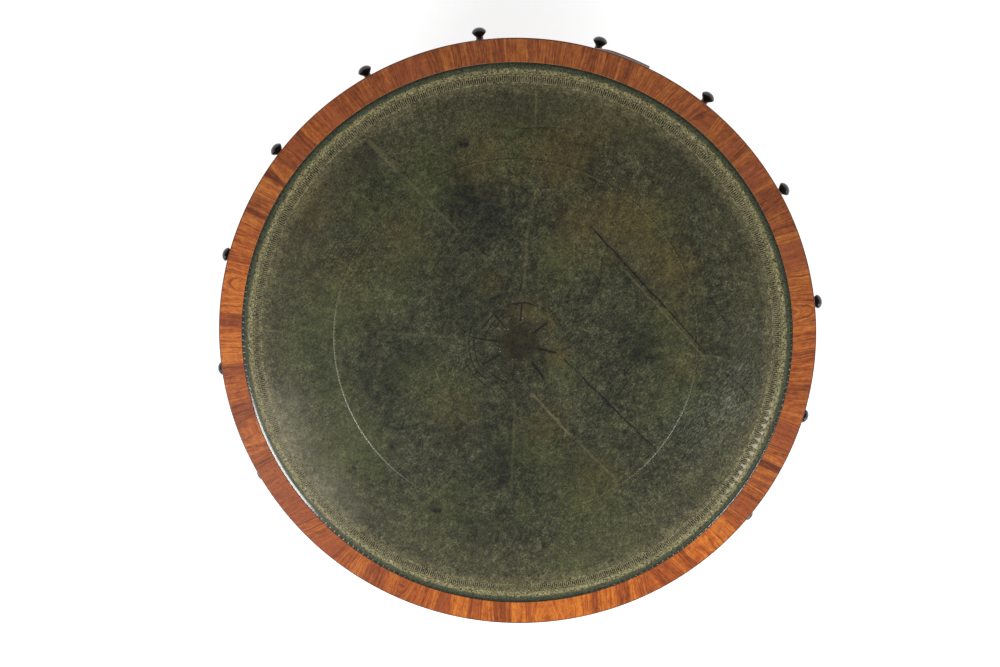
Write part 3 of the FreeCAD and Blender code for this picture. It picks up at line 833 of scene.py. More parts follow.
@dataclass(frozen=True)
class TooledHide:
    """Green cowhide, dyed by hand, blind tooled with hot rolls, and worn for many years.

    The eye sees blotches from bottle green to olive and ochre, a close dark mottle, pale wear
    on what stands proud, a soft gloss, and the dark bite of the tools.
    """

    name: str = "cowhide dyed green and blind tooled"
    brushed_way: float = 55.0
    # How many of each mark of the tools go once round.
    dots: int = 360
    strokes_round: int = 792
    teeth_round: int = 277
    flecks_round: int = 215
    # Distances from the middle, and half the width of two lines, in millimetres.
    dotted_within: float = 400.0
    frayed_within: float = 551.0
    highlight_half: float = 1.1
    groove_half: float = 1.6
    stroke_lines: tuple[float, float] = (525.0, 538.6)
    long_strokes: tuple[float, float] = (525.4, 538.2)
    short_strokes: tuple[float, float] = (527.0, 535.6)
    fleck_ends: tuple[float, float] = (526.0, 541.0)
    flecks_within: float = 543.5
    gloss_rise: tuple[float, float] = (554.5, 558.0)
    teeth_rise: tuple[float, float] = (556.5, 560.5)
    deepest: str = "12140f"
    deep: str = "26281d"
    mid: str = "3b3d2b"
    pale: str = "4f5039"
    palest: str = "6c6b4e"
    ochre: str = "645832"
    olive: str = "555a34"
    brown: str = "262112"
    sheen_streaks: str = "9aa09b"
    painted_glint: str = "b4ae9a"
    sheen_tint: str = "a09a80"
    worn: str = "948b63"
    plain: str = "454b35"
    tooled: str = "12110b"
    edge: str = "272f29"

    def material(self) -> bpy.types.Material:
        """Builds the hide's nodes. Its map goes once round in X and has the radius in Y.

        Returns:
            The material.
        """
        tree = Tree(bpy.data.materials.new(self.name))
        place = tree.add("TexCoord", output="Object")
        polar = tree.add("UVMap", uv_map="polar")
        turn = tree.add("SeparateXYZ", {"Vector": polar}, "X")
        radius = turn.node.outputs["Y"]
        fields = {
            name: tree.add("Attribute", output="Fac", attribute_name=name)
            for name in (*PATCHES, *SECTORS, "brown", "gather_shade", "stained", "rubbed")
        }
        colour, mottle, speckle, grit = self.mottle(tree, place, fields)
        tone = tree.add("Mix", {"Factor": 0.5, "A": mottle, "B": speckle})
        grain = tree.add("Mix", {"Factor": 0.5, "A": speckle, "B": grit})
        dots = self.teeth(tree, turn, self.dots, 0.5)
        colour = self.bands(tree, colour, turn, dots, (tone, grain))
        colour, strokes = self.strokes(tree, colour, turn, mottle)
        colour = self.painted_glints(tree, colour, turn, mottle, fields["glint_sector"])
        # Painted highlight: pale dashes on the tooled circle at two sides of the table.
        on_circle = tree.add(
            "Math", {0: radius, 1: CIRCLE_MM * MM, 2: self.highlight_half * MM}, operation="COMPARE"
        )
        dash = tree.add("MapRange", {"Value": dots, "To Min": 0.1, "To Max": 0.5})
        circle_highlight = tree.add("Math", {0: fields["circle_highlight"], 1: on_circle}, operation="MULTIPLY")
        circle_highlight = tree.add("Math", {0: circle_highlight, 1: dash}, operation="MULTIPLY")
        colour = tree.add("Mix", {"Factor": circle_highlight, "A": colour, "B": self.painted_glint}, data_type="RGBA")
        # Painted sheen: pale patches on the hide near the rim at one side.
        lying = tree.add(
            "MapRange",
            {"Value": tone, "From Min": 0.36, "From Max": 0.64, "To Min": 0.45, "To Max": 1.55},
        )
        sheen_patch = tree.add("Math", {0: fields["sheen_patch"], 1: lying}, operation="MULTIPLY")
        colour = tree.add("Mix", {"Factor": sheen_patch, "A": colour, "B": self.sheen_tint}, data_type="RGBA")
        colour, folds = self.folds(tree, colour, place)
        fine = tree.add(
            "TexNoise", {"Vector": place, "Scale": per(2.6), "Detail": 4.0, "Roughness": 0.72}
        )
        pebble = tree.add("TexVoronoi", {"Vector": place, "Scale": per(3.4), "Randomness": 1.0})
        skin = tree.add("Mix", {"Factor": 0.4, "A": fine, "B": pebble})
        bump = tree.add("Bump", {"Strength": 0.45, "Distance": 0.45 * MM, "Height": skin})
        cut = tree.add("Math", {0: folds, 1: strokes}, operation="SUBTRACT")
        bump = tree.add(
            "Bump", {"Strength": 0.8, "Distance": 0.9 * MM, "Height": cut, "Normal": bump}
        )
        shine = tree.add("MapRange", {"Value": fine, "To Min": 0.3, "To Max": 0.54})
        begins, full = (reach * MM for reach in self.gloss_rise)
        at_edge = tree.add(
            "MapRange",
            {"Value": radius, "From Min": begins, "From Max": full, "To Max": 0.95},
            interpolation_type="SMOOTHSTEP",
        )
        dull = tree.add(
            "MapRange", {"Value": grain, "From Min": 0.38, "From Max": 0.56, "To Max": 0.8}
        )
        polished = tree.add("Math", {0: fields["polished"], 1: dull}, operation="MAXIMUM")
        at_edge = tree.add("Math", {0: at_edge, 1: polished}, operation="MULTIPLY")
        groove = tree.add(
            "Math", {0: radius, 1: CIRCLE_MM * MM, 2: self.groove_half * MM}, operation="COMPARE"
        )
        broken = tree.add("Math", {0: dull, 1: 0.4}, operation="MULTIPLY")
        broken = tree.add("Math", {0: groove, 1: broken}, operation="MULTIPLY")
        gloss = tree.add("Math", {0: at_edge, 1: broken}, operation="MAXIMUM")
        shine = tree.add("Mix", {"Factor": gloss, "A": shine, "B": 0.13})
        surface = tree.add(
            "BsdfPrincipled",
            {
                "Base Color": colour,
                "Roughness": shine,
                "IOR": 1.46,
                "Specular IOR Level": 0.32,
                "Coat Weight": gloss,
                "Coat Roughness": 0.12,
                "Normal": bump,
            },
        )
        tree.add("OutputMaterial", {"Surface": surface})
        return tree.owner

    def teeth(self, tree: Tree, turn: Socket, count: float, shift: float = 0.0) -> Socket:
        """Even teeth round the table: a value that runs from 0 to 1 and back again.

        Args:
            tree: The hide's nodes.
            turn: The share of a turn.
            count: How many teeth go once round.
            shift: How far they are moved on, in half teeth.

        Returns:
            The value.
        """
        run = tree.add("Math", {0: turn, 1: 2 * count, 2: shift}, operation="MULTIPLY_ADD")
        return tree.add("Math", {0: run, 1: 1.0}, operation="PINGPONG")

    def mottle(self, tree: Tree, place: Socket, fields: dict[str, Socket]) -> tuple[Socket, ...]:
        """The dye's blotches, its close mottle, the skin's wrinkles, and what has marked them.

        Args:
            tree: The hide's nodes.
            place: The place on the object.
            fields: The attributes of where the hide is worn, dark or marked, and of painted light.

        Returns:
            The colour, and the noises of the mottle, the speckle and the grit.
        """

        def noise(size: float, detail: float, seed: float, **more: float) -> Socket:
            """Noise over the hide.

            Args:
                size: The size of its cells, in millimetres.
                detail: How many finer layers it has.
                seed: What keeps it unlike the other noises.
                more: Its twist, if it is twisted.

            Returns:
                The noise.
            """
            inputs = {"Vector": place, "W": seed, "Scale": per(size), "Detail": detail}
            inputs |= {"Roughness": 0.7, "Distortion": more.get("twist", 0.0)}
            return tree.add("TexNoise", inputs, noise_dimensions="4D")

        cloud, mottle = noise(90, 4.0, 0.0), noise(16, 8.0, 4.0)
        speckle, grit = noise(3.8, 3.0, 8.0, twist=0.8), noise(2.2, 1.0, 27.0)
        depth = tree.add("Mix", {"Factor": 0.62, "A": cloud, "B": mottle})
        depth = tree.add("Mix", {"Factor": 0.36, "A": depth, "B": speckle})
        depth = tree.add(
            "MapRange", {"Value": depth, "From Min": 0.392, "From Max": 0.608}, clamp=False
        )
        # The skin was brushed one way when it was dyed, which leaves short fine lines.
        brushed = tree.add(
            "Mapping", {"Vector": place, "Rotation": (0, 0, -math.radians(self.brushed_way))}
        )
        brushed = tree.add(
            "VectorMath", {0: brushed, 1: (per(9), per(1.7), per(9))}, operation="MULTIPLY"
        )
        brushed = tree.add(
            "TexNoise", {"Vector": brushed, "Scale": 1.0, "Detail": 2.0, "Distortion": 0.8}
        )
        for source, weight in ((grit, 1.1), (brushed, 1.1), (noise(48, 3.0, 33.0), 0.8)):
            off = tree.add("Math", {0: source, 1: 0.5}, operation="SUBTRACT")
            depth = tree.add("Math", {0: off, 1: weight, 2: depth}, operation="MULTIPLY_ADD")
        frayed = tree.add(
            "MapRange",
            {"Value": speckle, "From Min": 0.4, "From Max": 0.6, "To Min": 0.2, "To Max": 1.8},
        )
        dark = tree.add("Math", {0: fields["dark"], 1: frayed}, operation="MULTIPLY")
        depth = tree.add("Math", {0: dark, 1: -0.34, 2: depth}, operation="MULTIPLY_ADD")
        colour = tree.add(
            "ValToRGB",
            {"Fac": depth},
            "Color",
            stops=(
                (0.0, self.deepest),
                (0.25, self.deep),
                (0.5, self.mid),
                (0.75, self.pale),
                (1.0, self.palest),
            ),
        )
        grained = tree.add("MapRange", {"Value": depth, "To Min": 0.35, "To Max": 1.3})
        for name, tint, size, seed in (
            ("olive", self.olive, 38, 3.1), ("ochre", self.ochre, 30, 9.7)
        ):
            patch = tree.add("Math", {0: fields[name], 1: 0.22}, operation="ADD")
            amount = tree.add("Math", {0: patch, 1: noise(size, 5.0, seed)}, operation="MULTIPLY")
            amount = tree.add(
                "MapRange",
                {"Value": amount, "From Min": 0.11, "From Max": 0.5, "To Max": 0.8},
            )
            stained = tree.add(
                "VectorMath", {0: linear(tint)[:3], "Scale": grained}, operation="SCALE"
            )
            colour = tree.add(
                "Mix", {"Factor": amount, "A": colour, "B": stained}, data_type="RGBA"
            )
        # The zero line of a twisted noise wanders as the skin's wrinkles do.
        colour = self.wrinkled(tree, colour, noise(13, 2.0, 15.0, twist=1.8), cloud, 0.05, 0.8)
        colour = self.wrinkled(tree, colour, noise(34, 3.0, 21.0, twist=1.0), mottle, 0.022, 0.6)
        # Handling has browned the hide round its gathered middle.
        ragged = tree.add("Mix", {"Factor": 0.5, "A": speckle, "B": mottle})
        ragged = tree.add("Math", {0: ragged, 1: 3.2, 2: -0.7}, operation="MULTIPLY_ADD")
        brown = tree.add("Math", {0: fields["brown"], 1: ragged}, operation="MULTIPLY")
        brown = tree.add(
            "MapRange",
            {"Value": brown, "From Min": 0.1, "From Max": 0.9, "To Max": 0.85},
            interpolation_type="SMOOTHSTEP",
        )
        uneven = tree.add(
            "MapRange",
            {"Value": ragged, "From Min": 0.55, "From Max": 1.25, "To Min": 0.2, "To Max": 1.7},
        )
        stained = tree.add(
            "VectorMath", {0: linear(self.brown)[:3], "Scale": uneven}, operation="SCALE"
        )
        colour = tree.add("Mix", {"Factor": brown, "A": colour, "B": stained}, data_type="RGBA")
        # Painted sheen: in its patches the brushed lines are drawn a silvery grey.
        streaked = tree.add("MapRange", {"Value": brushed, "From Min": 0.48, "From Max": 0.66})
        streaked = tree.add("Math", {0: streaked, 1: frayed}, operation="MULTIPLY")
        sheen_streaks = tree.add("Math", {0: fields["sheen_streaks"], 1: streaked}, operation="MULTIPLY")
        # Small stains lie in groups, and painted glints, pale specks, lie round the gathered
        # middle.
        dot = tree.add("TexVoronoi", {"Vector": place, "Scale": per(10)})
        dot = tree.add(
            "MapRange",
            {"Value": dot, "From Min": 0.45, "From Max": 0.62, "To Min": 0.9, "To Max": 0.36},
        )
        stain = tree.add("MapRange", {"Value": fields["stained"], "From Min": 0.2, "From Max": 0.6})
        stain = tree.add("Math", {0: dot, 1: stain}, operation="MULTIPLY")
        speck = tree.add("TexVoronoi", {"Vector": place, "Scale": per(5.5)})
        speck = tree.add(
            "MapRange",
            {"Value": speck, "From Min": 0.1, "From Max": 0.2, "To Min": 1.0, "To Max": 0.0},
        )
        # The painted glints show only where the mottle is light.
        few = tree.add("MapRange", {"Value": mottle, "From Min": 0.5, "From Max": 0.58})
        rubbed = tree.add("Math", {0: fields["rubbed"], 1: few}, operation="MULTIPLY")
        speck = tree.add("Math", {0: speck, 1: rubbed}, operation="MULTIPLY")
        # Painted shade in the gathers, painted sheen, the stains, and painted glints, in that
        # order.
        for mask, tint in (
            (fields["gather_shade"], self.tooled),
            (sheen_streaks, self.sheen_streaks),
            (stain, self.tooled),
            (speck, self.painted_glint),
        ):
            colour = tree.add("Mix", {"Factor": mask, "A": colour, "B": tint}, data_type="RGBA")
        return colour, mottle, speckle, grit

    def wrinkled(
        self,
        tree: Tree,
        colour: Socket,
        lines: Socket,
        broken: Socket,
        width: float,
        strength: float,
    ) -> Socket:
        """Draws a net of fine dark wrinkles where a noise crosses its middle.

        Args:
            tree: The hide's nodes.
            colour: The colour so far.
            lines: The noise whose middle line is drawn.
            broken: The noise that leaves the net out in places.
            width: The line's half-width, as a share of the noise's range.
            strength: How dark it is at most.

        Returns:
            The colour with the wrinkles on it.
        """
        off = tree.add("Math", {0: lines, 1: 0.5}, operation="SUBTRACT")
        off = tree.add("Math", {0: off}, operation="ABSOLUTE")
        line = tree.add(
            "MapRange",
            {"Value": off, "From Min": 0.0, "From Max": width, "To Min": strength, "To Max": 0.0},
        )
        shown = tree.add("MapRange", {"Value": broken, "From Min": 0.38, "From Max": 0.56})
        line = tree.add("Math", {0: line, 1: shown}, operation="MULTIPLY")
        return tree.add("Mix", {"Factor": line, "A": colour, "B": self.deepest}, data_type="RGBA")

    def bands(
        self,
        tree: Tree,
        colour: Socket,
        turn: Socket,
        dots: Socket,
        tones: tuple[Socket, Socket],
    ) -> Socket:
        """The worn and plain bands round the edge and the dotted line of the inner circle.

        Args:
            tree: The hide's nodes.
            colour: The colour so far.
            turn: The share of a turn.
            dots: The dots of the inner circle.
            tones: The noise that frays the bands' edges and the finer one that grains them.

        Returns:
            The colour with the bands on it.
        """
        radius = turn.node.outputs["Y"]
        jitter = tree.add("Math", {0: tones[0], 1: 0.5}, operation="SUBTRACT")
        rows = (
            # From, to, the softness at each side in millimetres, colour, strength, how frayed its
            # edges are in metres, and how strongly it is grained.
            (470.0, 551.0, 60.0, 1.5, self.worn, 0.07, 0.12, 1.0),
            (519.0, 551.0, 20.0, 1.5, self.worn, 0.17, 0.1, 1.0),
            (524.5, 539.5, 3.0, 2.0, self.worn, 0.5, 0.03, 1.1),
            (542.5, 549.6, 2.6, 2.4, self.worn, 0.52, 0.03, 2.3),
            (551.2, 559.0, 2.4, 1.6, self.plain, 0.75, 0.03, 1.3),
            (558.6, 600.0, 1.6, 1.0, self.edge, 0.9, 0.02, 1.3),
            (CIRCLE_MM - 2.2, CIRCLE_MM - 0.4, 1.0, 1.0, self.worn, 0.2, 0.01, 1.3),
            (CIRCLE_MM - 0.2, CIRCLE_MM + 1.4, 0.8, 1.0, self.tooled, 0.62, 0.01, 1.0),
        )
        for low, high, soft_low, soft_high, tint, strength, frayed, depth in rows:
            source = tree.add("Math", {0: jitter, 1: frayed, 2: radius}, operation="MULTIPLY_ADD")
            grained = tree.add(
                "MapRange",
                {
                    "Value": tones[1],
                    "From Min": 0.3,
                    "From Max": 0.7,
                    "To Min": 1 - depth,
                    "To Max": 1 + depth,
                },
                clamp=False,
            )
            rise = tree.add(
                "MapRange",
                {
                    "Value": source,
                    "From Min": (low - soft_low) * MM,
                    "From Max": low * MM,
                    "To Max": strength,
                },
                interpolation_type="SMOOTHSTEP",
            )
            fall = tree.add(
                "MapRange",
                {
                    "Value": source if high < self.frayed_within else radius,
                    "From Min": high * MM,
                    "From Max": (high + soft_high) * MM,
                    "To Min": 1.0,
                    "To Max": 0.0,
                },
                interpolation_type="SMOOTHSTEP",
            )
            mask = tree.add("Math", {0: rise, 1: fall}, operation="MULTIPLY")
            if high < self.dotted_within:
                mask = tree.add("Math", {0: mask, 1: dots}, operation="MULTIPLY")
            worn = tree.add(
                "VectorMath", {0: linear(tint)[:3], "Scale": grained}, operation="SCALE"
            )
            colour = tree.add("Mix", {"Factor": mask, "A": colour, "B": worn}, data_type="RGBA")
        return colour

    def strokes(
        self,
        tree: Tree,
        colour: Socket,
        turn: Socket,
        tone: Socket,
    ) -> tuple[Socket, Socket]:
        """The roll of radial strokes, long and short by turns, and the teeth of the rolled edge.

        Args:
            tree: The hide's nodes.
            colour: The colour so far.
            turn: The share of a turn.
            tone: The noise of the mottle, which wears the strokes away in places.

        Returns:
            The colour, and how deep the tools bit.
        """
        radius = turn.node.outputs["Y"]
        phase = self.teeth(tree, turn, self.strokes_round)
        other = self.teeth(tree, turn, self.strokes_round / 2, 0.5)
        thick = tree.add("MapRange", {"Value": other, "From Min": 0.35, "From Max": 0.65})
        broad = tree.add("Math", {0: thick, 1: -0.16, 2: 0.48}, operation="MULTIPLY_ADD")
        stroke = tree.add("Math", {0: phase, 1: broad}, operation="SUBTRACT")
        stroke = tree.add(
            "MapRange",
            {"Value": stroke, "From Min": -0.08, "From Max": 0.12},
            interpolation_type="SMOOTHSTEP",
        )
        # Each stroke lies between two ends, which are closer for the thick strokes.
        for test, full, short in zip(
            ("GREATER_THAN", "LESS_THAN"), self.long_strokes, self.short_strokes
        ):
            end = tree.add(
                "Math", {0: thick, 1: (short - full) * MM, 2: full * MM}, operation="MULTIPLY_ADD"
            )
            inside = tree.add("Math", {0: radius, 1: end}, operation=test)
            stroke = tree.add("Math", {0: stroke, 1: inside}, operation="MULTIPLY")
        for line in self.stroke_lines:
            off = tree.add("Math", {0: radius, 1: line * MM}, operation="SUBTRACT")
            off = tree.add("Math", {0: off}, operation="ABSOLUTE")
            thin = tree.add(
                "MapRange",
                {
                    "Value": off,
                    "From Min": 0.2 * MM,
                    "From Max": 1.1 * MM,
                    "To Min": 0.7,
                    "To Max": 0.0,
                },
            )
            stroke = tree.add("Math", {0: stroke, 1: thin}, operation="MAXIMUM")
        wear = tree.add(
            "MapRange",
            {"Value": tone, "From Min": 0.42, "From Max": 0.64, "To Min": 1.0, "To Max": 0.5},
        )
        stroke = tree.add("Math", {0: stroke, 1: wear}, operation="MULTIPLY")
        colour = tree.add(
            "Mix", {"Factor": stroke, "A": colour, "B": self.tooled}, data_type="RGBA"
        )
        teeth = tree.add(
            "Mix",
            {
                "Factor": 0.4,
                "A": self.teeth(tree, turn, self.teeth_round),
                "B": self.teeth(tree, turn, 2 * self.teeth_round),
            },
        )
        begins, full = (reach * MM for reach in self.teeth_rise)
        at_edge = tree.add("MapRange", {"Value": radius, "From Min": begins, "From Max": full})
        teeth = tree.add("Math", {0: teeth, 1: at_edge}, operation="MULTIPLY")
        return colour, tree.add("Math", {0: stroke, 1: teeth}, operation="ADD")

    def painted_glints(
        self,
        tree: Tree,
        colour: Socket,
        turn: Socket,
        tone: Socket,
        glint_sector: Socket,
    ) -> Socket:
        """Painted glints: pale teeth in the stroked band at one side, which point inwards.

        Args:
            tree: The hide's nodes.
            colour: The colour so far.
            turn: The share of a turn.
            tone: The noise that breaks the teeth up.
            glint_sector: Where round the table they are.

        Returns:
            The colour with the teeth on it.
        """
        radius = turn.node.outputs["Y"]
        tip, root = (reach * MM for reach in self.fleck_ends)
        need = tree.add(
            "MapRange",
            {"Value": radius, "From Min": tip, "From Max": root, "To Min": 1.25, "To Max": 0.45},
        )
        fleck = tree.add(
            "Math", {0: self.teeth(tree, turn, self.flecks_round), 1: need}, operation="SUBTRACT"
        )
        frayed = tree.add("Math", {0: tone, 1: 1.6, 2: -0.8}, operation="MULTIPLY_ADD")
        fleck = tree.add("Math", {0: fleck, 1: frayed}, operation="ADD")
        fleck = tree.add("MapRange", {"Value": fleck, "From Max": 0.14, "To Max": 0.85})
        within = tree.add("Math", {0: radius, 1: self.flecks_within * MM}, operation="LESS_THAN")
        within = tree.add("Math", {0: within, 1: glint_sector}, operation="MULTIPLY")
        fleck = tree.add("Math", {0: fleck, 1: within}, operation="MULTIPLY")
        return tree.add("Mix", {"Factor": fleck, "A": colour, "B": self.painted_glint}, data_type="RGBA")

    def folds(self, tree: Tree, colour: Socket, place: Socket) -> tuple[Socket, Socket]:
        """The line of each fold: pale on a raised fold, and painted shade on a sunk one.

        Args:
            tree: The hide's nodes.
            colour: The colour so far.
            place: The place on the object.

        Returns:
            The colour, and how high the folds stand.
        """
        drift = tree.add("TexNoise", {"Vector": place, "Scale": per(30), "Detail": 3.0}, "Color")
        drift = tree.add("VectorMath", {0: drift, 1: (0.5, 0.5, 0.5)}, operation="SUBTRACT")
        drift = tree.add("VectorMath", {0: drift, "Scale": 7 * MM}, operation="SCALE")
        wavering = tree.add("VectorMath", {0: place, 1: drift}, operation="ADD")
        broken = tree.add(
            "TexNoise", {"Vector": place, "Scale": per(12), "Detail": 3.0, "Roughness": 0.7}
        )
        broken = tree.add(
            "MapRange", {"Value": broken, "From Min": 0.35, "From Max": 0.6, "To Min": 0.3}
        )
        heights = 0.0
        for crease in CREASES:
            matrix = crease.to_fold()
            local = tree.add(
                "Mapping",
                {"Vector": wavering, "Location": matrix.translation, "Rotation": matrix.to_euler()},
            )
            along = tree.add("SeparateXYZ", {"Vector": local}, "X")
            across = tree.add("Math", {0: along.node.outputs["Y"]}, operation="ABSOLUTE")
            along = tree.add("Math", {0: along}, operation="ABSOLUTE")
            ends = tree.add(
                "MapRange",
                {
                    "Value": along,
                    "From Min": crease.length / 2 - crease.line_end,
                    "From Max": crease.length / 2,
                    "To Min": 1.0,
                    "To Max": 0.0,
                },
                interpolation_type="SMOOTHSTEP",
            )
            line = tree.add(
                "MapRange",
                {
                    "Value": across,
                    "From Min": 0.2 * crease.width * MM,
                    "From Max": crease.width * MM,
                    "To Min": abs(crease.tone),
                    "To Max": 0.0,
                },
                interpolation_type="SMOOTHSTEP",
            )
            line = tree.add("Math", {0: line, 1: ends}, operation="MULTIPLY")
            line = tree.add("Math", {0: line, 1: broken}, operation="MULTIPLY")
            # A dark line is painted shade along a sunk fold; a pale one lies on a raised fold.
            tint = self.tooled if crease.tone < 0 else self.worn
            colour = tree.add("Mix", {"Factor": line, "A": colour, "B": tint}, data_type="RGBA")
            rise = math.copysign(0.5, crease.lift)
            heights = tree.add("Math", {0: line, 1: rise, 2: heights}, operation="MULTIPLY_ADD")
        return colour, heights


class Leaf(Enum):
    """The tone of a leaf of veneer, and how red it is."""

    BLACK = (0.08, 0.3)
    DARK = (0.31, 0.45)
    BROWN = (0.41, 0.5)
    RUDDY = (0.46, 1.0)
    MID = (0.51, 0.4)
    WARM = (0.6, 0.2)
    PALE = (0.74, 0.0)


# Painted light: a colour cast round the rim for how light and sheen fall, from -1 where it is
# greyed as by sheen to 1 where it is warmed as by light: the angle in degrees from +X and the cast.
LIGHT_CAST_ROUND = (
    (0, 0.1), (16, -0.5), (32, -1.0), (95, -0.9), (122, -0.8), (138, 0.0), (154, -0.5), (168, 0.8),
    (188, 0.8), (212, 0.1), (236, 0.5), (318, 1.0), (334, -0.3), (360, 0.1),
)

# Each leaf of the crossband: the angle where it starts, in degrees from +X, its tone, how far its
# joint leans, in degrees, and the arch of its flame, which points outwards where it is positive.
LEAVES = (
    (2.8, Leaf.WARM, 13, 0.0), (8.6, Leaf.WARM, 9, 0.9), (13.6, Leaf.WARM, -5, 0.0),
    (19.2, Leaf.RUDDY, -4, 0.0), (25.0, Leaf.WARM, -4, 0.0), (27.0, Leaf.DARK, -7, 0.0),
    (28.8, Leaf.MID, -5, 0.0), (31.4, Leaf.BROWN, 2, 0.0), (33.6, Leaf.DARK, 6, 0.0),
    (36.2, Leaf.BROWN, -3, 0.0), (38.2, Leaf.RUDDY, 2, 0.0), (42.5, Leaf.MID, -2, 0.0),
    (45.0, Leaf.DARK, 3, 0.0), (46.0, Leaf.RUDDY, 2, 0.0), (47.6, Leaf.MID, -2, 0.0),
    (52.8, Leaf.BROWN, 8, 0.5), (59.6, Leaf.MID, -8, 0.0), (64.3, Leaf.BROWN, -14, 0.0),
    (66.4, Leaf.MID, -6, 0.0), (71.7, Leaf.DARK, 3, 0.0), (73.6, Leaf.MID, 2, 0.0),
    (75.2, Leaf.DARK, 4, 0.0), (76.8, Leaf.MID, 0, 0.0), (78.4, Leaf.DARK, 3, 0.0),
    (79.9, Leaf.MID, -3, 0.0), (90.0, Leaf.MID, 2, 0.0), (96.5, Leaf.BROWN, 3, 0.0),
    (100.0, Leaf.DARK, 4, 0.0), (103.3, Leaf.MID, 3, 0.0), (105.4, Leaf.DARK, -3, 0.0),
    (106.4, Leaf.WARM, -2, 0.0), (109.0, Leaf.DARK, 5, 0.0), (111.3, Leaf.RUDDY, 4, 0.4),
    (118.2, Leaf.MID, -4, 0.0), (123.0, Leaf.BROWN, 2, 0.0), (129.0, Leaf.DARK, 2, 0.0),
    (131.4, Leaf.RUDDY, 1, 0.0), (135.0, Leaf.MID, 3, 0.0), (139.4, Leaf.DARK, 2, 0.0),
    (141.3, Leaf.RUDDY, -2, 0.0), (143.5, Leaf.DARK, 2, 0.0), (146.2, Leaf.WARM, 1, 0.0),
    (149.2, Leaf.BLACK, -14, 0.0), (150.3, Leaf.WARM, 5, 0.2), (154.4, Leaf.MID, 4, 0.0),
    (157.4, Leaf.BLACK, 2, 0.0), (158.2, Leaf.WARM, 2, 0.0), (163.0, Leaf.WARM, -4, 0.0),
    (167.0, Leaf.BROWN, 3, 0.0), (168.1, Leaf.WARM, 6, 0.0), (170.6, Leaf.PALE, -5, 0.9),
    (175.0, Leaf.PALE, 4, 0.0), (178.9, Leaf.DARK, 2, 0.0), (181.4, Leaf.PALE, 1, 0.0),
    (189.4, Leaf.DARK, -3, 0.0), (191.8, Leaf.WARM, 3, 0.0), (195.2, Leaf.MID, 3, 0.0),
    (197.6, Leaf.DARK, 2, 0.0), (201.2, Leaf.WARM, 10, -0.7), (207.2, Leaf.MID, -12, 0.0),
    (209.2, Leaf.DARK, 6, 0.0), (211.2, Leaf.RUDDY, 3, 0.0), (218.5, Leaf.RUDDY, -2, 0.0),
    (226.0, Leaf.MID, -16, 0.0), (230.0, Leaf.RUDDY, -24, 0.0), (235.0, Leaf.MID, -10, 0.0),
    (239.0, Leaf.WARM, 6, 0.0), (242.8, Leaf.DARK, 8, 0.0), (246.6, Leaf.WARM, 10, 0.0),
    (249.2, Leaf.DARK, 9, 0.8), (251.2, Leaf.MID, -9, 0.0), (255.4, Leaf.WARM, 0, 0.0),
    (258.2, Leaf.RUDDY, 0, 0.0), (260.6, Leaf.PALE, 3, 0.0), (264.6, Leaf.BROWN, 1, 0.0),
    (267.3, Leaf.PALE, 0, 0.0), (269.9, Leaf.DARK, 7, 0.0), (271.6, Leaf.BROWN, 5, 0.0),
    (273.4, Leaf.PALE, 2, 0.0), (276.6, Leaf.MID, 0, 0.0), (277.6, Leaf.PALE, -2, -0.9),
    (284.4, Leaf.PALE, 0, 0.0), (290.4, Leaf.BROWN, -12, 0.0), (291.6, Leaf.PALE, -12, 0.0),
    (295.8, Leaf.DARK, -16, 0.0), (298.6, Leaf.WARM, -16, 0.0), (302.4, Leaf.MID, -16, 0.0),
    (304.9, Leaf.DARK, 12, 0.0), (306.6, Leaf.MID, 14, 0.0), (308.4, Leaf.BROWN, 14, 0.0),
    (309.6, Leaf.WARM, 12, 0.0), (311.6, Leaf.BROWN, 10, 0.0), (313.0, Leaf.PALE, 8, 0.3),
    (324.2, Leaf.DARK, 2, 0.0), (325.4, Leaf.MID, 1, 0.0), (326.5, Leaf.RUDDY, 2, 0.0),
    (329.2, Leaf.DARK, 0, 0.0), (331.0, Leaf.WARM, 2, 0.0), (333.0, Leaf.MID, -3, 0.0),
    (334.6, Leaf.WARM, 3, 0.0), (337.6, Leaf.BLACK, 4, 0.0), (338.8, Leaf.WARM, 2, 0.0),
    (342.0, Leaf.RUDDY, 2, 0.0), (348.0, Leaf.WARM, -6, 0.0), (351.8, Leaf.MID, 9, 0.0),
    (354.8, Leaf.DARK, 8, 0.0), (356.8, Leaf.WARM, 8, 0.0), (360.4, Leaf.BROWN, 12, 0.0),
)


FRONT_COLOURS = {"dark": "4f2410", "mid": "85431c", "light": "b0672c"}
SOLID_COLOURS = {"dark": "35160b", "mid": "693218", "light": "934f25"}


def front_veneer(label: str, angle: float) -> Wood:
    """The figured veneer of one front, with its grain round the drum.

    Args:
        label: Which front it is.
        angle: Where it is round the drum, in degrees from +X.

    Returns:
        The finish.
    """
    return Wood(
        name=f"mahogany veneer of {label}, french polished",
        way=Way.AROUND,
        turn=angle,
        ripple=0.16,
        length_mm=190,
        **FRONT_COLOURS,
    )


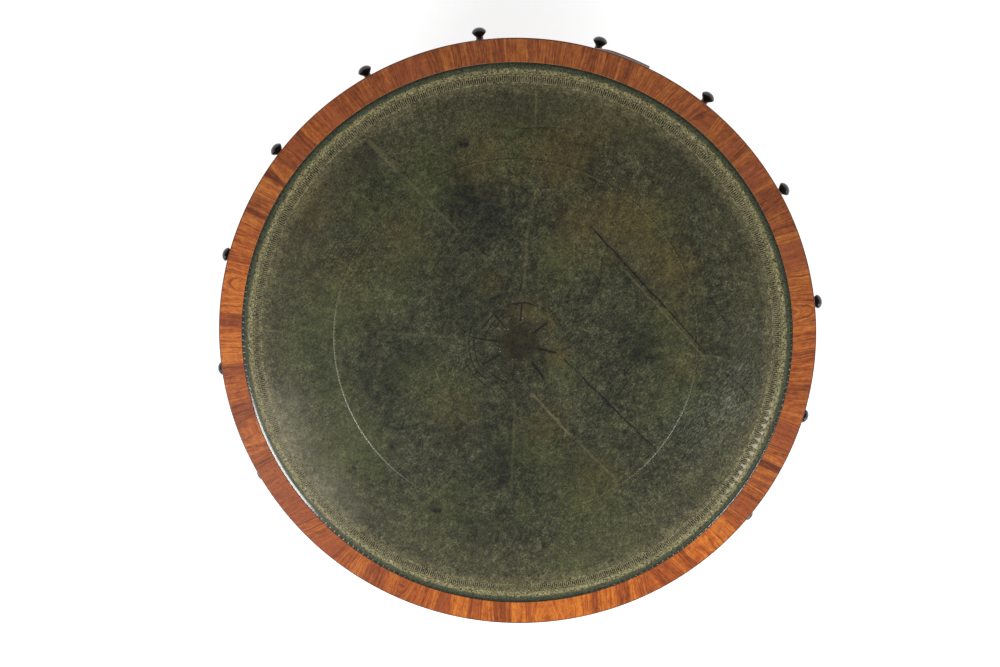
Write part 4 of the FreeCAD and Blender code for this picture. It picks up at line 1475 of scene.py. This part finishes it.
@dataclass
class RoundTop:
    """The round top: a hide within a ring of crossbanded veneer, on a board with a lipped edge."""

    high: float = 750 * MM
    bed: float = 748.5 * MM
    low: float = 728 * MM
    hide_radius: float = 562.7 * MM
    hide_sunk: float = 0.2 * MM
    veneer_inner: float = 563.1 * MM
    veneer_outer: float = 607.9 * MM
    edge_inner: float = 608 * MM
    edge_radius: float = 610 * MM
    edge_round: float = 1.2 * MM
    roll_width: float = 9.0 * MM
    roll_drop: float = 1.17 * MM
    circle_step: float = 0.3 * MM
    channel: tuple[float, float, float, float] = (0.524, 0.5255, 0.538, 0.5395)
    channel_depth: float = 0.12 * MM
    fold_reach: float = 6 * MM
    # The skin's waves: how many, how high one of the middle length is, and how long, in metres.
    waves: int = 30
    wave_height: float = 0.035 * MM
    wave_lengths: tuple[float, float] = (0.07, 0.24)
    middle_length: float = 0.16
    level_from: tuple[float, float] = (0.50, 0.55)
    gather_depth: float = 0.5 * MM
    dip_depth: float = 0.35 * MM
    dip_radius: float = 34 * MM
    # The rings of the hide's grid: from and to which radius, and how far apart, in millimetres.
    ring_spans: tuple[tuple[float, float, float], ...] = (
        (0, 36, 4.5), (36, 126, 1.25), (126, 371.4, 7.5), (371.4, 374.4, 0.4),
        (374.4, 520, 7.5), (520, 541, 1.5), (541, 553.7, 2.1), (553.7, 562.7, 0.9),
    )
    columns: int = 512
    leaf_shares: tuple[float, ...] = (0.0, 0.12, 0.3, 0.5, 0.7, 0.88, 1.0)
    veneer_rows: int = 11
    shoulder: float = 0.35 * MM
    flame_stretch: float = 0.4
    seed: int = 7

    def build(self) -> None:
        """Makes the hide, the crossband and the edge."""
        self.build_hide()
        self.build_crossband()
        self.build_edge()

    def relief(self, x: np.ndarray, y: np.ndarray) -> np.ndarray:
        """The height of the hide's face.

        From a level plane it takes a fall with the square of the way out over the rolled edge, a
        step down outside the tooled circle and a shallow channel under the strokes. It adds folds
        as exp(-(distance / reach)^2) and waves as a sum of random sines, and takes away the
        pockets and arcs that are gathered round the middle and a dip of exp(-(radius / r)^4).

        Args:
            x: The places' X, in metres.
            y: Their Y.

        Returns:
            The height at each place, in metres.
        """
        radius = np.hypot(x, y)
        z = np.full(x.shape, self.high - self.hide_sunk)
        past = np.clip((radius - self.hide_radius + self.roll_width) / self.roll_width, 0, 1)
        z -= self.roll_drop * past ** 2
        circle = CIRCLE_MM * MM
        z -= self.circle_step * ease(radius, circle - 0.5 * MM, circle + 0.7 * MM)
        inner, outer = ease(radius, *self.channel[:2]), ease(radius, *self.channel[2:])
        z -= self.channel_depth * inner * (1 - outer)
        for crease in CREASES:
            z += crease.lift * MM * crease.nearness(x, y, self.fold_reach)
        random = np.random.default_rng(self.seed)
        fade = 1 - ease(radius, *self.level_from)
        for _ in range(self.waves):
            way = random.uniform(0, 2 * np.pi)
            length = random.uniform(*self.wave_lengths)
            phase = random.uniform(0, 2 * np.pi)
            wave = np.sin((x * np.cos(way) + y * np.sin(way)) * 2 * np.pi / length + phase)
            z += self.wave_height * wave * fade * (length / self.middle_length)
        z -= self.gather_depth * self.gathers(x, y)
        z -= self.dip_depth * np.exp(-((radius / self.dip_radius) ** 4))
        return np.minimum(z, self.high)

    def gathers(self, x: np.ndarray, y: np.ndarray) -> np.ndarray:
        """How deep the hide is drawn in round the middle.

        Each pocket is exp(-(distance across / half-width)^2) and each arc the same of the
        distance from its circle. Both are eased at their ends, and the deepest one counts.

        Args:
            x: The places' X, in metres.
            y: Their Y.

        Returns:
            A share from 0 to 1 at each place.
        """
        x, y = x / MM - STAR_PLACE[0], y / MM - STAR_PLACE[1]
        radius, angle = np.hypot(x, y), np.degrees(np.arctan2(y, x))
        wavering = radius + 1.6 * np.sin(np.radians(3 * angle + 40)) + np.sin(np.radians(8 * angle))
        deepest = np.zeros(x.shape)
        for turn, low, high, width, depth in POCKETS:
            off = (angle - turn + 180) % 360 - 180
            across = np.radians(off) * radius
            ends = ease(radius, low - 5, low + 5) * (1 - ease(radius, high - 12, high))
            pocket = depth * np.exp(-((across / width) ** 2)) * ends * (np.abs(off) < 60)
            deepest = np.maximum(deepest, pocket)
        for circle, first, last, width, depth in ARCS:
            off = np.abs((angle - (first + last) / 2 + 180) % 360 - 180)
            ends = 1 - ease(off, (last - first) / 2 - 8, (last - first) / 2)
            arc = depth * np.exp(-(((wavering - circle) / width) ** 2)) * ends
            deepest = np.maximum(deepest, arc)
        return deepest

    def build_hide(self) -> None:
        """Makes the hide as a polar grid, closed by its flesh side."""
        radii = np.concatenate([np.arange(*span) for span in self.ring_spans])
        radii = np.append(radii, self.hide_radius / MM) * MM
        face = once_round(np.stack([radii, 0 * radii], axis=1), self.columns)
        face[:, :, 2] = self.relief(face[:, :, 0], face[:, :, 1])
        under = once_round(np.array([[self.hide_radius, self.bed], [0.0, self.bed]]), self.columns)
        grid = Grid(np.concatenate([face, under]))
        all_radii = np.append(radii, [self.hide_radius, 0.0])
        polar = np.stack([grid.column / self.columns, all_radii[grid.row]], axis=2)
        fields = self.wear(grid.points[:, :, 0].ravel() / MM, grid.points[:, :, 1].ravel() / MM)
        hide = piece("leather_hide", [grid], {"polar": polar}, fields)
        hide.data.materials.append(TooledHide().material())
        hand_in(hide, "drum", ["leather_skin"])

    def wear(self, x: np.ndarray, y: np.ndarray) -> dict[str, np.ndarray]:
        """Where the hide is worn and marked, and where light and shade are painted on it.

        A patch is its weight times exp(-(distance / radius)^2), and like patches add up. A stain
        and a sector round the table fall off with a higher power, so that they are flatter.

        Args:
            x: The places' X, in millimetres.
            y: Their Y.

        Returns:
            A field for each kind of wear, with a value at each place.
        """
        fields = {}
        for name, table in PATCHES.items():
            patch = np.array(table)[:, :, None]
            away = ((x - patch[:, 0]) ** 2 + (y - patch[:, 1]) ** 2) / patch[:, 2] ** 2
            fields[name] = (patch[:, 3] * np.exp(-away)).sum(axis=0)
        fields["stained"] = sum(
            np.exp(-((((x - a) ** 2 + (y - b) ** 2) / reach ** 2) ** 2))
            for a, b, reach in STAIN_SPOTS
        )
        from_star = np.hypot(x - STAR_PLACE[0], y - STAR_PLACE[1])
        fields["brown"] = sum(
            weight * np.exp(-((from_star / reach) ** 4)) for reach, weight in BROWNED
        )
        fields["rubbed"] = ease(from_star, *GLINT_RING[:2]) * (1 - ease(from_star, *GLINT_RING[2:]))
        fields["gather_shade"] = self.gathers(x * MM, y * MM)
        angle = np.degrees(np.arctan2(y, x)) % 360
        for name, table in SECTORS.items():
            fields[name] = sum(
                weight * np.exp(-((np.abs((angle - middle + 180) % 360 - 180) / half) ** power))
                for middle, half, weight, power in table
            )
        return fields

    def build_crossband(self) -> None:
        """Makes the ring of veneer leaves.

        A leaf's grain runs between its two joints, which lean by their own angles. Its map is
        the way across and the way along. A flame bends the way across into the distance from
        the middle of the leaf's inner or outer edge: sqrt(across^2 + (stretch * along)^2).
        """
        leans = np.tan(np.radians([leaf[2] for leaf in LEAVES + LEAVES[:1]]))
        starts = np.radians([leaf[0] for leaf in LEAVES] + [LEAVES[0][0] + 360])
        tones = np.array([leaf[1].value for leaf in LEAVES])
        arches = np.array([leaf[3] for leaf in LEAVES])
        shares, count = np.array(self.leaf_shares), len(LEAVES)
        steps = len(shares) - 1
        face = np.linspace(self.veneer_inner + self.shoulder, self.veneer_outer, self.veneer_rows)
        profile = np.concatenate([
            [[self.veneer_inner, self.bed], [self.veneer_inner, self.high - self.shoulder]],
            [[radius, self.high] for radius in face],
            [[self.veneer_outer, self.bed]],
        ])
        middle = (self.veneer_inner + self.veneer_outer) / 2
        leaf, step = np.divmod(np.arange(count * steps), steps)
        off = (profile[:, :1] - middle) / middle
        left = starts[leaf] + leans[leaf] * off
        right = starts[leaf + 1] + leans[leaf + 1] * off
        turn = left + (right - left) * shares[step]
        radius, height = profile[:, :1] + 0 * turn, profile[:, 1:] + 0 * turn
        grid = Grid(
            np.stack([radius * np.cos(turn), radius * np.sin(turn), height], axis=2),
            close_rows=True,
        )
        first = grid.column[:, :1]
        corner_leaf = np.repeat(leaf[first], 4, axis=1)
        corner_step = step[first] + grid.column - first
        corner_share = shares[corner_step]
        width = (starts[1:] - starts[:-1])[corner_leaf] * middle
        across = (corner_share - 0.5) * width
        along = profile[grid.row % len(profile), 0] - self.veneer_inner
        arch = arches[corner_leaf]
        band = self.veneer_outer - self.veneer_inner
        bent = np.hypot(across, self.flame_stretch * np.where(arch > 0, along, band - along))
        # At a joint both leaves have the mean of their tones, and each its own a little inside.
        beside = (corner_leaf + np.where(corner_step == 0, -1, 1)) % count
        at_joint = ((corner_step == 0) | (corner_step == steps))[:, :, None]
        mixed = tones[corner_leaf] + 0.5 * at_joint * (tones[beside] - tones[corner_leaf])
        angle = np.degrees(turn[0])[grid.column % len(leaf)] % 360
        fields = {
            "grain": np.stack([across + np.abs(arch) * (bent - across), along], axis=2),
            "leaf": corner_leaf.astype(float),
            "tone": mixed[:, :, 0],
            "ruddy": mixed[:, :, 1],
            "joint": np.minimum(corner_share, 1 - corner_share) * width,
            "light_cast": np.interp(angle, *np.array(LIGHT_CAST_ROUND).T),
        }
        made = piece("crossband_veneer", [grid], fields)
        made.data.materials.append(CrossbandVeneer().material())
        hand_in(made, "drum", ["crossband_rim"])

    def build_edge(self) -> None:
        """Makes the lipping: a rounded section carried round the board's edge."""
        turn = np.linspace(0, np.pi / 2, 5)
        reach = self.edge_radius - self.edge_round
        sweep, rise = np.sin(turn) * self.edge_round, np.cos(turn) * self.edge_round
        top = np.stack([reach + sweep, self.high - self.edge_round + rise], axis=1)
        foot = np.stack([reach + rise, self.low + self.edge_round - sweep], axis=1)
        inner = np.array([[self.edge_inner, self.low], [self.edge_inner, self.high]])
        edge = piece(
            "edge_moulding",
            [Grid(once_round(np.concatenate([inner, top, foot]), self.columns), close_rows=True)],
        )
        finish = Wood(
            name="mahogany lipping, dark polished",
            way=Way.AROUND,
            roughness=0.34,
            **SOLID_COLOURS,
        )
        edge.data.materials.append(finish.material())
        hand_in(edge, "drum", ["edge_lipping"])

    def dress(self) -> None:
        """Finishes the board under the veneer and what holds it."""
        bare = Wood(
            name="pine, planed and bare",
            dark="8a6339",
            mid="b08a57",
            light="c7a470",
            way=Way.ALONG_X,
            streak_mm=4.0,
            pores=0.15,
            roughness=0.6,
            polish=0.0,
        )
        dress(["top_core", "top_battens"], bare.material())
        screw = Metal("steel screws, drawn", "8f8c86", "4d4a45", 0.35)
        dress(["top_screws"], screw.material())


@dataclass
class Knob:
    """A turned knob: a flat collar, a narrow waist and a head like a flattened ball."""

    seat: float = 604 * MM
    height: float = 681 * MM
    offset: float = 11.25
    columns: int = 48
    outline: tuple[tuple[float, float], ...] = (
        (9.5, 0.0), (9.7, 1.6), (9.3, 2.9), (8.3, 4.6), (7.6, 7.2), (7.3, 10.2), (7.6, 12.6),
        (9.2, 14.2), (11.4, 16.4), (13.4, 18.8), (14.3, 20.4), (14.5, 21.6), (13.9, 23.4),
        (12.2, 25.7), (9.3, 28.1), (5.2, 29.9), (0.0, 30.5),
    )

    def grid(self, angle: float) -> Grid:
        """The knob at an angle round the drum: its outline turned about the way out.

        Args:
            angle: Degrees from +X.

        Returns:
            The knob's surface, closed by a flat back inside the front.
        """
        curve = flowing(self.outline, 4)
        back = np.array([[0.0, -2.0], [9.5, -2.0]])
        profile = np.concatenate([back, curve]) * MM
        upright = Matrix.Rotation(math.radians(90), 4, "Y")
        out = Matrix.Translation((self.seat, 0, self.height)) @ upright
        return Grid(once_round(profile, self.columns)).moved(
            Matrix.Rotation(math.radians(angle), 4, "Z") @ out
        )

    def pair(self, name: str, angles: tuple[float, ...]) -> bpy.types.Object:
        """Makes the two knobs of each front at these angles, as one piece."""
        places = [angle + side * self.offset for angle in angles for side in (-1, 1)]
        return piece(name, [self.grid(place) for place in places])


@dataclass
class Drum:
    """The drum under the top: carcass, dummy fronts and what is on them."""

    knob: Knob = field(default_factory=Knob)
    sprung_strip: tuple[float, float] = (607 * MM, 612.8 * MM)

    def build(self, black: bpy.types.Material) -> None:
        """Makes the dummy fronts' eight knobs.

        Args:
            black: The knobs' finish.
        """
        knobs = self.knob.pair("dummy_front_knobs", BETWEEN_ANGLES)
        knobs.data.materials.append(black)
        hand_in(knobs, "drum", ["dummy_knobs"])

    def dress(self, brass: bpy.types.Material) -> None:
        """Finishes the carcass, the dummy fronts and all the cock beads.

        Args:
            brass: The finish of the keyholes.
        """
        for number, angle in enumerate(BETWEEN_ANGLES, 1):
            veneer = front_veneer(f"dummy front {number}", angle)
            dress([f"dummy_front_{number}"], veneer.material())
        bead = Wood(
            name="mahogany bead, french polished",
            way=Way.AROUND,
            pores=0.3,
            **SOLID_COLOURS,
        )
        whole = [f"drawer_{number}_beads" for number in (1, 3, 4)]
        dress(["dummy_beads", "bottom_moulding", *whole], bead.material())
        # The strip that has sprung out of the front is bare, and the rest of its bead isn't.
        # Its bare wood is painted near white, to make up for the shade under the top.
        sprung = replace(
            bead,
            name="mahogany bead, sprung loose, bare where its polish has gone",
            bare_radii=self.sprung_strip,
        )
        dress(["drawer_2_beads"], sprung.material())
        board = Wood(
            name="mahogany board, oiled",
            way=Way.ALONG_X,
            polish=0.1,
            roughness=0.45,
            **SOLID_COLOURS,
        )
        dress(["drum_bottom_board"], board.material())
        deal = Wood(
            name="deal, planed",
            dark="7d5a35",
            mid="a47f50",
            light="bd9a68",
            way=Way.ALONG_X,
            pores=0.15,
            roughness=0.6,
            polish=0.0,
        )
        dress(["housing_dividers", "centre_block"], deal.material())
        dress(["dummy_escutcheons"], brass)


@dataclass
class Drawer:
    """One drawer of the drum."""

    number: int
    angle: float
    knob: Knob = field(default_factory=Knob)

    def build(self, black: bpy.types.Material) -> None:
        """Makes the drawer's two knobs.

        Args:
            black: The knobs' finish.
        """
        knobs = self.knob.pair(f"drawer_{self.number}_turned_knobs", (self.angle,))
        knobs.data.materials.append(black)
        name = f"drawer_{self.number}"
        hand_in(knobs, name, [f"{name}_knobs"])

    def dress(self, brass: bpy.types.Material) -> None:
        """Finishes the front, the oak linings and the lock.

        Args:
            brass: The finish of the lock and its keyhole.
        """
        name = f"drawer_{self.number}"
        veneer = front_veneer(f"drawer {self.number}", self.angle)
        dress([f"{name}_front"], veneer.material())
        oak = Wood(
            name=f"oak lining of drawer {self.number}, planed",
            dark="6e4f2e",
            mid="94714a",
            light="b08c60",
            way=Way.ALONG_X,
            turn=self.angle,
            streak_mm=2.2,
            roughness=0.5,
            polish=0.05,
        )
        dress([f"{name}_box", f"{name}_bottom"], oak.material())
        dress([f"{name}_lock"], brass)


@dataclass
class Pedestal:
    """The turned column on its four swept legs, and the platform that the drum turns on."""

    ebony_bands: tuple[tuple[float, float], ...] = ((0.3455, 0.3545), (0.5155, 0.5275))
    leg_slope: float = -24.0

    def dress(self, brass: bpy.types.Material) -> None:
        """Finishes the pedestal's wood and metal.

        Args:
            brass: The finish of the toe caps.
        """
        column = Wood(
            name="mahogany column, turned and french polished",
            way=Way.UPRIGHT,
            ebony_bands=self.ebony_bands,
            **SOLID_COLOURS,
        )
        dress(["column"], column.material())
        platform = Wood(name="mahogany platform, polished", way=Way.ALONG_X, **SOLID_COLOURS)
        dress(["bearing_platform"], platform.material())
        for number, angle in enumerate(BETWEEN_ANGLES, 1):
            leg = Wood(
                name=f"mahogany of leg {number}, french polished",
                way=Way.ALONG_X,
                turn=angle,
                tilt=self.leg_slope,
                **SOLID_COLOURS,
            )
            dress([f"leg_{number}"], leg.material())
        iron = Metal("iron, forged and blacked", "2a2927", "171513", 0.5, spot_mm=14)
        dress(["pivot_pin", "base_plate"], iron.material())
        steel = Metal("steel, turned", "8f8c86", "4d4a45", 0.32)
        dress(["bearing_plate", "base_screws"], steel.material())
        dress(["toe_caps"], brass)


@dataclass
class Castor:
    """One brass castor, its fork and its wheel."""

    number: int

    def dress(self, brass: bpy.types.Material) -> None:
        """Finishes the fork and the wheel."""
        dress([f"castor_fork_{self.number}", f"castor_wheel_{self.number}"], brass)


@dataclass
class Studio:
    """A white floor, soft lamps and the camera that looks down on the table."""

    lens_mm: float = 54.0
    camera_place: tuple[float, float, float] = (0.04478, 0.63258, 3.74713)
    camera_axes: tuple[tuple[float, float, float], ...] = (
        (0.99641707, -0.08074278, 0.02517188),
        (0.07404658, 0.97665158, 0.20166507),
        (-0.04086716, -0.19907863, 0.97913103),
    )
    floor_side: float = 40.0
    lamps: tuple[tuple[str, tuple[float, float, float], float, float], ...] = (
        ("left_softbox", (-1.72, -1.58, 3.0), 0.9, 48.0),
        ("right_softbox", (2.0, -1.7, 2.5), 0.9, 58.0),
    )
    lamps_aim: tuple[float, float, float] = (0.0, 0.0, 0.75)
    floor_glow: float = 0.72
    sky: float = 0.34

    def build(self) -> None:
        """Sets up the floor, the lamps, the world and the camera."""
        self.build_camera()
        self.build_floor()
        self.build_world()
        for name, place, size, power in self.lamps:
            lamp = bpy.data.lights.new(name, "AREA")
            lamp.shape, lamp.size, lamp.energy = "SQUARE", size, power
            made = bpy.data.objects.new(name, lamp)
            back = Vector(place) - Vector(self.lamps_aim)
            turned = back.to_track_quat("Z", "Y").to_matrix().to_4x4()
            made.matrix_world = Matrix.Translation(place) @ turned
            bpy.context.scene.collection.objects.link(made)

    def build_camera(self) -> None:
        """Makes the camera at the photograph's place and angle."""
        lens = bpy.data.cameras.new("camera")
        lens.sensor_width, lens.lens = 36.0, self.lens_mm
        made = bpy.data.objects.new("camera", lens)
        rows = [[*axes, place] for axes, place in zip(self.camera_axes, self.camera_place)]
        made.matrix_world = Matrix([*rows, [0, 0, 0, 1]])
        bpy.context.scene.collection.objects.link(made)
        bpy.context.scene.camera = made
        bpy.context.scene.view_settings.view_transform = "Standard"

    def build_floor(self) -> None:
        """Makes a flat white floor, which also glows to the camera so that it shows white."""
        half = self.floor_side / 2
        corners = [(-half, -half, 0), (half, -half, 0), (half, half, 0), (-half, half, 0)]
        mesh = bpy.data.meshes.new("studio_floor")
        mesh.from_pydata(corners, [], [(0, 1, 2, 3)])
        floor = bpy.data.objects.new("studio_floor", mesh)
        bpy.context.scene.collection.objects.link(floor)
        tree = Tree(bpy.data.materials.new("white painted floor, matt"))
        seen = self.seen(tree)
        place = tree.add("TexCoord", output="Object")
        grit = tree.add("TexNoise", {"Vector": place, "Scale": per(40), "Detail": 3.0})
        shine = tree.add("MapRange", {"Value": grit, "To Min": 0.85, "To Max": 0.95})
        paint = tree.add(
            "BsdfPrincipled",
            {"Base Color": "d8d8d8", "Roughness": shine, "Specular IOR Level": 0.1},
        )
        glow = tree.add("Math", {0: seen, 1: self.floor_glow}, operation="MULTIPLY")
        light = tree.add("Emission", {"Color": "ffffff", "Strength": glow})
        both = tree.add("AddShader", {0: paint, 1: light})
        tree.add("OutputMaterial", {"Surface": both})
        mesh.materials.append(tree.owner)

    def seen(self, tree: Tree) -> Socket:
        """One for what is seen straight, in a reflection or through glass, and zero otherwise.

        Args:
            tree: The floor's nodes.

        Returns:
            The value.
        """
        camera = tree.add("LightPath", output="Is Camera Ray")
        ends = camera.node.outputs
        glossy = tree.add("Math", {0: camera, 1: ends["Is Glossy Ray"]}, operation="MAXIMUM")
        return tree.add("Math", {0: glossy, 1: ends["Is Transmission Ray"]}, operation="MAXIMUM")

    def build_world(self) -> None:
        """Makes the surroundings: white to the camera, dimmer overhead in a reflection."""
        tree = Tree(bpy.data.worlds.new("studio"))
        bpy.context.scene.world = tree.owner
        path = tree.add("LightPath", output="Is Camera Ray")
        ends = path.node.outputs
        way = tree.add("TexCoord", output="Generated")
        up = tree.add("SeparateXYZ", {"Vector": way}, "Z")
        around = tree.add(
            "MapRange",
            {"Value": up, "From Min": 0.3, "From Max": 0.8, "To Min": 1.0, "To Max": 0.2},
            interpolation_type="SMOOTHSTEP",
        )
        mirrored = tree.add(
            "Math", {0: ends["Is Glossy Ray"], 1: ends["Is Transmission Ray"]}, operation="MAXIMUM"
        )
        strength = tree.add("Mix", {"Factor": mirrored, "A": self.sky, "B": around})
        strength = tree.add("Mix", {"Factor": path, "A": strength, "B": 1.0})
        back = tree.add("Background", {"Color": "ffffff", "Strength": strength})
        tree.add("OutputWorld", {"Surface": back})


def main() -> None:
    """Builds the studio and each part of the table in order."""
    logging.basicConfig(level=logging.INFO, format="%(name)s: %(message)s")
    Studio().build()
    black = EbonisedWood().material()
    brass = Metal("brass, cast and lacquered", "b39150", "7d6234", 0.28, spot_mm=5.0).material()
    top = RoundTop()
    top.build()
    top.dress()
    drum = Drum()
    drum.build(black)
    drum.dress(brass)
    for number, angle in enumerate(DRAWER_ANGLES, 1):
        drawer = Drawer(number, angle)
        drawer.build(black)
        drawer.dress(brass)
    Pedestal().dress(brass)
    for number in range(1, 5):
        Castor(number).dress(brass)


if __name__ == "__main__":
    main()
